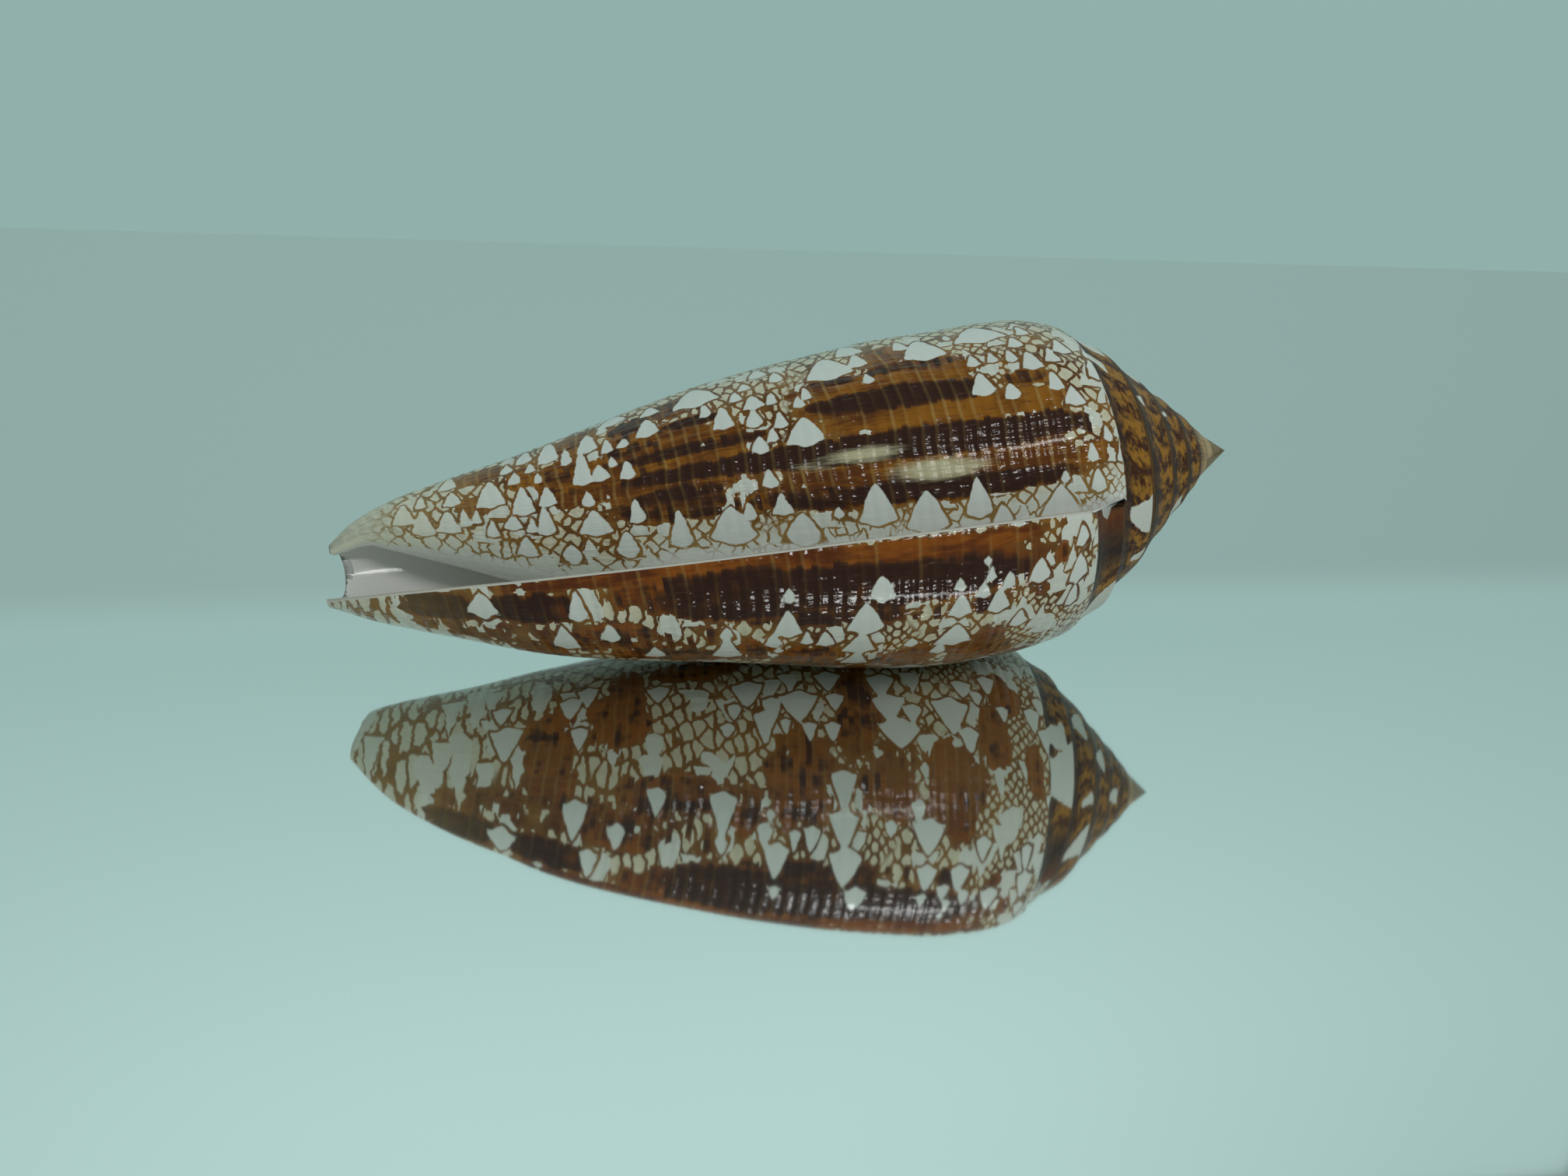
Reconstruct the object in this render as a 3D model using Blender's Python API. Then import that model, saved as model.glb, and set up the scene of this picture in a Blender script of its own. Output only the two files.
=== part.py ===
"""Cone shell lying on its side: a coiled, one-piece natural shell.

Metres, +Z up, floor at z = 0.  The shell's axis runs along X and rises gently
towards the apex, which points to +X.  The lip and the open slit face -Y.
"""
import math

import bmesh
import bpy
from mathutils import Vector

MM = 0.001

# Overall size and pose, in millimetres and degrees.  The origin is the middle
# of the footprint on the floor.
LENGTH = 80.0
AXIS_TILT = 7.68
APEX_X = 39.796
APEX_Y = 2.031
APEX_Z = 19.1           # low enough for a small flat on the belly, at the floor

# Body sections along the axis: distance from the apex, radius of the whorl,
# its centre above the axis, its centre on the lip's side of the axis.
SECTIONS = (
    (0.0, 0.05, 0.0, 0.0),
    (2.0, 1.45, 0.03, -0.15),
    (5.0, 4.30, 0.06, -0.30),
    (8.0, 6.82, 0.05, -0.33),
    (11.0, 9.45, 0.01, -0.25),
    (14.0, 11.89, -0.08, -0.11),
    (17.0, 13.60, -0.21, 0.01),
    (20.0, 14.44, -0.38, 0.09),
    (24.0, 14.72, -0.65, 0.12),
    (30.0, 14.70, -0.90, 0.00),
    (36.0, 14.12, -0.88, -0.15),
    (43.0, 13.00, -0.62, -0.28),
    (50.0, 11.64, -0.42, 0.00),
    (57.0, 10.05, -0.42, 0.68),
    (64.0, 8.29, -0.24, 1.12),
    (70.0, 6.57, 0.22, 0.97),
    (75.0, 5.02, 0.40, 0.55),
    (78.0, 3.72, 0.28, 0.20),
    (80.0, 2.47, 0.0, 0.0),
)

# The lip's edge: distance from the apex, height above the axis, reach to -Y.
LIP_EDGE = (
    (12.0, 0.2, 10.4),
    (17.8, 2.28, 14.88),
    (22.0, 3.43, 17.35),
    (26.0, 3.83, 18.14),
    (30.0, 4.01, 18.43),
    (36.6, 4.02, 18.22),
    (43.3, 3.84, 17.62),
    (50.5, 3.49, 16.52),
    (57.7, 3.10, 15.11),
    (62.3, 2.70, 13.83),
    (66.0, 2.20, 12.32),
    (69.1, 1.82, 11.14),
    (72.3, 1.33, 9.68),
    (75.8, 0.59, 7.73),
    (78.0, -0.10, 5.90),
    (80.0, -0.90, 3.90),
)

# How far the inner whorl's centre stands off the outer whorl's centre.
INNER_SHIFT = (
    (0.0, 0.0),
    (12.0, 0.0),
    (16.0, 0.60),
    (20.0, 1.10),
    (30.0, 1.55),
    (40.0, 1.85),
    (53.0, 2.25),
    (62.0, 2.75),
    (76.0, 3.10),
    (80.0, 2.00),
)
INNER_SIDE = 340.0      # direction in which the inner whorl touches the outer
LIP_BLEND = 150.0       # direction where the flare towards the lip begins

WALL_BODY = 1.25
WALL_END = 0.50
WALL_LIP = 0.45
WALL_TAPER_START = 50.0     # distance from the apex where the wall begins to thin
LIP_TAPER = 40.0            # degrees over which the wall thins towards the lip
END_NOTCH = 0.9             # depth of the hollow in the front end's rim
END_NOTCH_LAST = 380.0      # direction where that hollow ends
CAVITY_TURNS = 0.55         # how far round the cavity runs behind the lip

# The growing shoulder line winds round the spire.
SHOULDER_START = 19.6
SHOULDER_RATE = 0.235
SHOULDER_TIGHTEN = 0.016
SPIRE_TURNS = 6
SUTURE_STEP = 0.045     # height of the step at each seam, as a share of its distance
RAMP_HOLLOW = 0.020     # hollow of the ramp between two seams, as a share

# Mesh steps.
COLUMNS_OUTER = 22
COLUMNS_INNER = 8
COLUMNS_TURN = COLUMNS_OUTER + COLUMNS_INNER
COLUMNS_CAVITY = 14
ROW_SHARES = (0.0, 0.035, 0.075, 0.13, 0.20, 0.28, 0.37, 0.46, 0.55,
              0.64, 0.72, 0.79, 0.85, 0.90, 0.94, 0.975, 1.0)
LAST_ROW = len(ROW_SHARES) - 1
RAMP_STEPS = 3
RIM_PAIRING = 0.5       # degrees within which rim points inside and outside pair up


def smooth_table(table, column, position):
    """Read a table of stations with a smooth curve that never overshoots."""
    places = [row[0] for row in table]
    values = [row[column] for row in table]
    if position <= places[0]:
        return values[0]
    if position >= places[-1]:
        return values[-1]
    count = len(places)
    slopes = []
    for index in range(count - 1):
        slopes.append((values[index + 1] - values[index]) / (places[index + 1] - places[index]))
    tangents = [slopes[0]]
    for index in range(1, count - 1):
        before, after = slopes[index - 1], slopes[index]
        if before * after <= 0.0:
            tangents.append(0.0)
        else:
            tangents.append(2.0 * before * after / (before + after))
    tangents.append(slopes[-1])
    index = 0
    while position > places[index + 1]:
        index += 1
    span = places[index + 1] - places[index]
    t = (position - places[index]) / span
    first = (2 * t ** 3 - 3 * t ** 2 + 1) * values[index]
    second = (t ** 3 - 2 * t ** 2 + t) * span * tangents[index]
    third = (-2 * t ** 3 + 3 * t ** 2) * values[index + 1]
    fourth = (t ** 3 - t ** 2) * span * tangents[index + 1]
    return first + second + third + fourth


def unit(angle):
    """Direction in a section: 0 is up, 90 is towards the lip's side."""
    return math.cos(math.radians(angle)), math.sin(math.radians(angle))


def section_circle(u):
    radius = smooth_table(SECTIONS, 1, u)
    return radius, smooth_table(SECTIONS, 2, u), smooth_table(SECTIONS, 3, u)


def lip_polar(u):
    """The lip's direction and distance seen from the section's centre."""
    radius, up, side = section_circle(u)
    rise = smooth_table(LIP_EDGE, 1, u) - up
    reach = smooth_table(LIP_EDGE, 2, u) - side
    return math.degrees(math.atan2(reach, rise)), math.hypot(rise, reach)


def shoulder(turns):
    """Distance from the apex to the shoulder line, so many turns behind the lip."""
    fall = SHOULDER_RATE * turns + SHOULDER_TIGHTEN * turns * turns
    return SHOULDER_START * math.exp(-fall)


def full_wall(u):
    """Thickness of the outer wall away from the lip, thinner at the front end."""
    share = max(0.0, min(1.0, (u - WALL_TAPER_START) / (LENGTH - WALL_TAPER_START)))
    return WALL_BODY + (WALL_END - WALL_BODY) * share


def wall(u, angle, lip_angle):
    """Thickness of the outer wall in one direction, thinner towards the lip."""
    full = full_wall(u)
    near = max(0.0, min(1.0, (angle - lip_angle) / LIP_TAPER))
    return min(full, WALL_LIP + (full - WALL_LIP) * near)


def flare(u, angle):
    """Extra reach of the last part of the whorl as it opens towards the lip."""
    lip_angle, lip_reach = lip_polar(u)
    radius = section_circle(u)[0]
    if angle >= LIP_BLEND:
        return 0.0
    part = (angle - lip_angle) / (LIP_BLEND - lip_angle)
    return (lip_reach - radius) * math.cos(0.5 * math.pi * max(0.0, part)) ** 2


def to_world(u, up, side):
    """Section coordinates in millimetres to world metres."""
    tilt = math.radians(AXIS_TILT)
    x = APEX_X - u * math.cos(tilt) - up * math.sin(tilt)
    y = APEX_Y - side
    z = APEX_Z - u * math.sin(tilt) + up * math.cos(tilt)
    return Vector((x * MM, y * MM, z * MM))


def outer_point(u, angle, depth=0.0, lift=1.0):
    """A point on the outer whorl between the lip and the inner side."""
    radius, up, side = section_circle(u)
    reach = radius + lift * flare(u, angle) - depth
    vertical, lateral = unit(angle)
    return to_world(u, up + reach * vertical, side + reach * lateral)


def inner_point(u, angle):
    """A point on the inner whorl, which touches the outer one from inside."""
    radius, up, side = section_circle(u)
    shift = smooth_table(INNER_SHIFT, 1, u)
    vertical, lateral = unit(INNER_SIDE)
    up += shift * vertical
    side += shift * lateral
    reach = radius - shift
    vertical, lateral = unit(angle)
    return to_world(u, up + reach * vertical, side + reach * lateral)


def cavity_end(u):
    """Where the inner whorl meets the outer wall's inside, as two directions."""
    radius = section_circle(u)[0]
    shift = smooth_table(INNER_SHIFT, 1, u)
    core = radius - shift
    thick = full_wall(u)
    cosine = 1.0 - (2.0 * radius * thick - thick * thick) / (2.0 * shift * core)
    turn = math.acos(max(-1.0, min(1.0, cosine)))
    across = core * math.sin(turn)
    along = shift + core * math.cos(turn)
    return INNER_SIDE + 360.0 - math.degrees(turn), INNER_SIDE - math.degrees(math.atan2(across, along))


def end_reach(angle, lip_angle):
    """The front end's rim, hollowed between its two points."""
    share = max(0.0, min(1.0, (angle - lip_angle) / (END_NOTCH_LAST - lip_angle)))
    return LENGTH - END_NOTCH * math.sin(math.pi * share) ** 2


def row_position(turns, share, rim):
    start = shoulder(turns)
    return start + (rim - start) * share


def column_angle(column, lip_angle):
    """Direction of a column in the last whorl, from the lip round to the lip again."""
    if column <= COLUMNS_OUTER:
        return lip_angle + (INNER_SIDE - lip_angle) * column / COLUMNS_OUTER
    share = (column - COLUMNS_OUTER) / COLUMNS_INNER
    return INNER_SIDE + (360.0 + lip_angle - INNER_SIDE) * share


def whorl_point(u, column, lift=1.0):
    """A point on the outside of the shell in the given column of a turn."""
    lip_angle = lip_polar(u)[0]
    angle = column_angle(column, lip_angle)
    if column <= COLUMNS_OUTER:
        return outer_point(u, angle, 0.0, lift)
    return inner_point(u, angle)


def ramp_point(step, column):
    """A point on the spiral ramp between one seam and the next."""
    turns = column / COLUMNS_TURN
    local = column % COLUMNS_TURN
    share = step / RAMP_STEPS
    outer = shoulder(turns)
    inner = shoulder(turns + 1.0) * (1.0 + SUTURE_STEP)
    u = outer + (inner - outer) * share
    if column < COLUMNS_TURN:
        point = whorl_point(u, local, 1.0 - share)
    else:
        point = inner_point(u, column_angle(local, lip_polar(u)[0]))
    hollow = RAMP_HOLLOW * u * math.sin(math.pi * share)
    centre = to_world(u, 0.0, 0.0)
    away = point - centre
    return point - away.normalized() * hollow * MM if away.length > hollow * MM else point


def build_shell():
    mesh = bmesh.new()

    # Outer wall: rows from the shoulder to the front end, columns round one turn.
    body = []
    for row, share in enumerate(ROW_SHARES):
        ring = []
        for column in range(COLUMNS_TURN + 1):
            turns = column / COLUMNS_TURN
            rough = row_position(turns, share, LENGTH)
            lip_angle = lip_polar(rough)[0]
            rim = end_reach(column_angle(column, lip_angle), lip_angle)
            u = row_position(turns, share, rim)
            ring.append(mesh.verts.new(whorl_point(u, column)))
        body.append(ring)

    # Spiral ramp: the crest of each turn is also the seam of the turn before.
    crest = list(body[0])
    last_column = SPIRE_TURNS * COLUMNS_TURN
    for column in range(COLUMNS_TURN + 1, last_column + 1):
        crest.append(mesh.verts.new(ramp_point(0, column)))
    ramp = [crest]
    for step in range(1, RAMP_STEPS + 1):
        line = []
        for column in range(last_column + 1):
            line.append(mesh.verts.new(ramp_point(step, column)))
        ramp.append(line)
    for step in range(RAMP_STEPS):
        for column in range(last_column):
            mesh.faces.new((ramp[step][column], ramp[step][column + 1],
                            ramp[step + 1][column + 1], ramp[step + 1][column]))
    for column in range(last_column - COLUMNS_TURN):
        mesh.faces.new((ramp[RAMP_STEPS][column], ramp[RAMP_STEPS][column + 1],
                        crest[column + 1 + COLUMNS_TURN], crest[column + COLUMNS_TURN]))

    # The tip of the spire closes in a fan.
    tip = mesh.verts.new(to_world(0.0, 0.0, 0.0))
    loop = [ramp[RAMP_STEPS][column] for column in range(last_column - COLUMNS_TURN, last_column + 1)]
    loop += [ramp[step][last_column] for step in range(RAMP_STEPS - 1, -1, -1)]
    for index, vertex in enumerate(loop):
        mesh.faces.new((vertex, loop[(index + 1) % len(loop)], tip))

    # Outer wall faces.
    for row in range(LAST_ROW):
        for column in range(COLUMNS_TURN):
            mesh.faces.new((body[row][column], body[row + 1][column],
                            body[row + 1][column + 1], body[row][column + 1]))

    # Cavity: the inner whorl on one side and the outer wall's inside on the other.
    floor_side = [None]
    roof_side = [None]
    for row in range(1, LAST_ROW + 1):
        share = ROW_SHARES[row]
        floor_line = [body[row][COLUMNS_TURN]]
        roof_line = []
        for column in range(COLUMNS_CAVITY + 1):
            part = column / COLUMNS_CAVITY
            start = shoulder(1.0) + (shoulder(CAVITY_TURNS) - shoulder(1.0)) * part
            u = start + (LENGTH - start) * share
            lip_angle = lip_polar(u)[0]
            last_floor, last_roof = cavity_end(u)
            roof_turns = CAVITY_TURNS * part
            roof_u = row_position(roof_turns, share, LENGTH)
            if row == LAST_ROW:
                roof_angle = lip_angle + (last_roof - lip_angle) * part
                u = end_reach(roof_angle, lip_angle)
                roof_u = u
            if column > 0:
                angle = 360.0 + lip_angle + (last_floor - 360.0 - lip_angle) * part
                floor_line.append(mesh.verts.new(inner_point(u, angle)))
            if row > 1 and column < COLUMNS_CAVITY:
                lip_angle = lip_polar(roof_u)[0]
                last_roof = cavity_end(roof_u)[1]
                angle = lip_angle + (last_roof - lip_angle) * part
                depth = wall(roof_u, angle, lip_angle)
                roof_line.append(mesh.verts.new(outer_point(roof_u, angle, depth)))
        if row == 1:
            roof_line = floor_line
        else:
            roof_line.append(floor_line[COLUMNS_CAVITY])
        floor_side.append(floor_line)
        roof_side.append(roof_line)
    for row in range(1, LAST_ROW):
        for column in range(COLUMNS_CAVITY):
            mesh.faces.new((floor_side[row][column], floor_side[row + 1][column],
                            floor_side[row + 1][column + 1], floor_side[row][column + 1]))
            corners = [roof_side[row][column], roof_side[row][column + 1],
                       roof_side[row + 1][column + 1], roof_side[row + 1][column]]
            mesh.faces.new(corners)

    # The lip's edge, and the cut end of the ramp where the lip meets the seam.
    for row in range(2, LAST_ROW):
        mesh.faces.new((body[row][0], roof_side[row][0], roof_side[row + 1][0], body[row + 1][0]))
    corner = [body[2][0], body[1][0]]
    corner += [ramp[step][0] for step in range(RAMP_STEPS + 1)]
    corner += [body[0][COLUMNS_TURN], body[1][COLUMNS_TURN], roof_side[2][0]]
    mesh.faces.new(corner)

    # The front end's rim: a band round the opening, then the closed core.
    rim_outer = body[LAST_ROW]
    rim_inner = roof_side[LAST_ROW]
    lip_angle = lip_polar(LENGTH)[0]
    last_roof = cavity_end(LENGTH)[1]
    outer_column = 0
    for column in range(COLUMNS_CAVITY):
        target = lip_angle + (last_roof - lip_angle) * (column + 1) / COLUMNS_CAVITY
        corners = [rim_inner[column], rim_inner[column + 1]]
        reached = [rim_outer[outer_column]]
        while (outer_column < COLUMNS_OUTER
               and column_angle(outer_column + 1, lip_angle) <= target + RIM_PAIRING):
            outer_column += 1
            reached.append(rim_outer[outer_column])
        corners += reversed(reached)
        mesh.faces.new(corners)
    core = [rim_outer[column] for column in range(outer_column, COLUMNS_TURN + 1)]
    core += floor_side[LAST_ROW][1:]
    mesh.faces.new(core)

    bmesh.ops.recalc_face_normals(mesh, faces=mesh.faces)
    bmesh.ops.triangulate(mesh, faces=mesh.faces)

    # The flat that the shell rests on: nothing reaches below the floor.
    for vertex in mesh.verts:
        vertex.co.z = max(vertex.co.z, 0.0)
    data =bpy.data.meshes.new("shell")
    mesh.to_mesh(data)
    mesh.free()
    return data


def shell_material():
    material = bpy.data.materials.new("shell_glaze")
    material.use_nodes = True
    surface = material.node_tree.nodes["Principled BSDF"]
    surface.inputs["Base Color"].default_value = (0.42, 0.24, 0.10, 1.0)
    surface.inputs["Roughness"].default_value = 0.28
    surface.inputs["Metallic"].default_value = 0.0
    return material


def main():
    for item in list(bpy.data.objects):
        bpy.data.objects.remove(item, do_unlink=True)
    collection = bpy.data.collections.new("cone_shell")
    bpy.context.scene.collection.children.link(collection)
    shell = bpy.data.objects.new("shell", build_shell())
    shell.data.materials.append(shell_material())
    for face in shell.data.polygons:
        face.use_smooth = True
    collection.objects.link(shell)


main()
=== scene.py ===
"""Looks of a slender cone shell lying on a pale floor: fine surface, markings, light and camera."""
import math

import bpy
import numpy as np
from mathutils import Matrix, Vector


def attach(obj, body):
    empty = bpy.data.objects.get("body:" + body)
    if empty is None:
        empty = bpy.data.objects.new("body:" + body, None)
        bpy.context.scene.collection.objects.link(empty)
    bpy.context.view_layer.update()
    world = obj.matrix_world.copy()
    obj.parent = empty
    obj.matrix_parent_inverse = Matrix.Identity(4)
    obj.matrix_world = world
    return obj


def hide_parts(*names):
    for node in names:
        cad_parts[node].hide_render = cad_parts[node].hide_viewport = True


bl_info = {
    "name": "Cone Shell Looks",
    "version": (1, 0, 0),
    "blender": (4, 5, 0),
    "location": "View3D > Sidebar > Cone Shell",
    "description": "Builds the fine surface and markings of a cone shell around its frame",
    "category": "Object",
}

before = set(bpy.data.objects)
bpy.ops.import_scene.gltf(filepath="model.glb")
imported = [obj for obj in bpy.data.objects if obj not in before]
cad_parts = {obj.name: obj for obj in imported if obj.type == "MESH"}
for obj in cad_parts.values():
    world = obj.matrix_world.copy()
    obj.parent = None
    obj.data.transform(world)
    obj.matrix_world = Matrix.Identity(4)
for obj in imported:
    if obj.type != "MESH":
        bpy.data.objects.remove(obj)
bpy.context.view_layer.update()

MM = 0.001
LENGTH = 80.0
AXIS_TILT = math.radians(7.68)
APEX = (39.796, 2.031, 19.1)

# Body sections: distance from the apex, radius, centre above and beside the axis.
SECTIONS = np.array((
    (0.0, 0.05, 0.0, 0.0), (2.0, 1.45, 0.03, -0.15), (5.0, 4.30, 0.06, -0.30),
    (8.0, 6.82, 0.05, -0.33), (11.0, 9.45, 0.01, -0.25), (14.0, 11.89, -0.08, -0.11),
    (17.0, 13.60, -0.21, 0.01), (20.0, 14.44, -0.38, 0.09), (24.0, 14.72, -0.65, 0.12),
    (30.0, 14.70, -0.90, 0.00), (36.0, 14.12, -0.88, -0.15), (43.0, 13.00, -0.62, -0.28),
    (50.0, 11.64, -0.42, 0.00), (57.0, 10.05, -0.42, 0.68), (64.0, 8.29, -0.24, 1.12),
    (70.0, 6.57, 0.22, 0.97), (75.0, 5.02, 0.40, 0.55), (78.0, 3.72, 0.28, 0.20),
    (80.0, 2.47, 0.0, 0.0),
))
# The lip's edge: distance from the apex, height above the axis, reach to the side.
LIP_EDGE = np.array((
    (12.0, 0.2, 10.4), (17.8, 2.28, 14.88), (22.0, 3.43, 17.35), (26.0, 3.83, 18.14),
    (30.0, 4.01, 18.43), (36.6, 4.02, 18.22), (43.3, 3.84, 17.62), (50.5, 3.49, 16.52),
    (57.7, 3.10, 15.11), (62.3, 2.70, 13.83), (66.0, 2.20, 12.32), (69.1, 1.82, 11.14),
    (72.3, 1.33, 9.68), (75.8, 0.59, 7.73), (78.0, -0.10, 5.90), (80.0, -0.90, 3.90),
))
# How far the older whorl's centre stands off the newest one's, along the body.
INNER_SHIFT = np.array((
    (0.0, 0.0), (12.0, 0.0), (16.0, 0.60), (20.0, 1.10), (30.0, 1.55), (40.0, 1.85),
    (53.0, 2.25), (62.0, 2.75), (76.0, 3.10), (80.0, 2.00),
))
# Where the white glaze of the slit begins on the older whorl: distance from the
# apex and direction in degrees.
GLAZE_EDGE = np.array((
    (14.0, 439.0), (17.0, 440.5), (19.4, 442.5), (22.7, 443.5), (27.4, 445.0), (31.0, 445.6), (35.5, 446.4),
    (39.7, 448.0), (46.3, 450.8), (51.3, 452.0), (56.9, 471.0), (60.5, 469.5), (63.9, 464.5),
    (67.3, 462.5), (71.1, 465.5), (76.3, 478.5), (80.0, 480.0),
))
INNER_SIDE = 340.0      # direction in which the older whorl touches the newest one
LIP_BLEND = 150.0       # direction where the flare towards the lip begins
WALL_BODY = 1.25
WALL_END = 0.50
WALL_LIP = 0.45
WALL_TAPER_START = 50.0
LIP_TAPER = 40.0        # degrees over which the wall thins towards the lip
END_NOTCH = 0.9         # depth of the hollow in the front end's rim
END_NOTCH_LAST = 380.0
CAVITY_TURNS = 0.55
SHOULDER_START = 19.6
SHOULDER_RATE = 0.235
SHOULDER_TIGHTEN = 0.016
SPIRE_TURNS = 6
SUTURE_STEP = 0.045
RAMP_HOLLOW = 0.020
RAMP_SLOPE = 1.25       # width of a ramp as a share of its length along the axis
OUTER_SHARE = 22.0 / 30.0

# Relief of the surface: spacing and heights in millimetres.
THREAD_PITCH = 1.06
THREAD_HEIGHT = 0.013
GROWTH_HEIGHT = 0.010
SWELL_HEIGHT = 0.055
DRIFT_HEIGHT = 0.030
RELIEF_RADIUS = 12.0
MARKING_RADIUS = 11.0   # turns a direction into a length for the markings
FLOOR_CLEARANCE = 0.35  # height below which the belly is eased onto the floor

# Markings of the hidden sides, and the value that stands for no mark nearby.
HIDDEN_MARKS = 60
HIDDEN_MARKS_SEED = 29
HIDDEN_FIELDS = 22
HIDDEN_FIELDS_SEED = 31
NO_MARK = 6.0

# Colours of the surface, the darker shade first where there are two.
LINE_BROWN = ((0.12, 0.038, 0.005, 1.0), (0.27, 0.118, 0.020, 1.0))
OCHRE = ((0.13, 0.032, 0.002, 1.0), (0.32, 0.112, 0.004, 1.0))
RUST = ((0.12, 0.022, 0.001, 1.0), (0.29, 0.070, 0.002, 1.0))
CHOCOLATE = ((0.018, 0.005, 0.003, 1.0), (0.060, 0.014, 0.005, 1.0))
DARK_OCHRE = (0.085, 0.024, 0.004, 1.0)
BELOW_LINE = (0.30, 0.125, 0.020, 1.0)
BELOW_OCHRE = (0.36, 0.130, 0.012, 1.0)
THREAD_PALE = (0.42, 0.25, 0.075, 1.0)
FRONT_TAN = (0.46, 0.31, 0.13, 1.0)
SLIT_TAN = (0.46, 0.30, 0.10, 1.0)
CLEAN_WHITE = ((0.76, 0.77, 0.73, 1.0), (0.70, 0.71, 0.66, 1.0))
NET_WHITE = ((0.58, 0.49, 0.31, 1.0), (0.76, 0.71, 0.57, 1.0))
FRONT_CREAM = (0.80, 0.75, 0.56, 1.0)
# Cream of the pale patches, which stand partly for wear and partly for painted highlight of the gloss.
WEAR_AND_GLARE_CREAM = (0.60, 0.52, 0.33, 1.0)
RAMP_BROWN = ((0.36, 0.160, 0.018, 1.0), (0.060, 0.017, 0.006, 1.0))
RAMP_CREST = (0.032, 0.014, 0.011, 1.0)
RAMP_BY_LIP = ((0.120, 0.032, 0.008, 1.0), (0.030, 0.015, 0.012, 1.0))
RAMP_WHITE = (0.66, 0.66, 0.60, 1.0)
APEX_TAN = (0.52, 0.38, 0.22, 1.0)
GLAZE_WHITE = (0.78, 0.77, 0.72, 1.0)
LINING_WHITE = ((0.80, 0.78, 0.74, 1.0), (0.74, 0.72, 0.69, 1.0))
LIP_EDGE_TAN = (0.40, 0.27, 0.14, 1.0)

# The floor is mirror-bright in front and turns matt behind the shell, and the
# backdrop behind it bends up and glows.  Metres.
MATTE_START = -0.002
MATTE_FADE = 0.022
BACKDROP_START = 0.30
BACKDROP_BEND = 1.50
BACKDROP_STEPS = 24
BACKDROP_GLOW = ((0.28, 0.425, 0.40, 1.0), (0.50, 0.69, 0.665, 1.0))
BACKDROP_SIDES = (0.27, 0.39, 0.38, 1.0)
FLOOR_MIRROR = (0.90, 0.94, 0.93, 1.0)
FLOOR_SOFT = (0.74, 0.75, 0.71, 1.0)
ROOM_COLOUR = (0.76, 1.0, 0.96, 1.0)
ROOM_STRENGTH = 0.27
SKY_COLOUR = (0.84, 1.0, 0.97)
SKY_ANGLE = 120.0
SKY_TURN = (-18.0, 8.0, 0.0)
KEY_PLACE = (0.15, -0.40, 0.36)
KEY_TARGET = (0.0, 0.0, 0.015)
KEY_WIDTH = 0.20
KEY_HEIGHT = 0.022
CAMERA_PLACE = (-0.016014, -0.083934, 0.046043)
CAMERA_TURN = (65.391, -2.626, -8.807)
CAMERA_LENS = 24.107

# Fine mesh: steps round a turn, along the body, across a ramp and into the cavity.
TURN_STEPS = 240
BODY_STEPS = 300
RAMP_STEPS = 6
CAVITY_STEPS = 22
CAVITY_CROWDING = 1.8
LIP_STEPS = 3
RIM_PAIRING = 0.4

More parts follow.
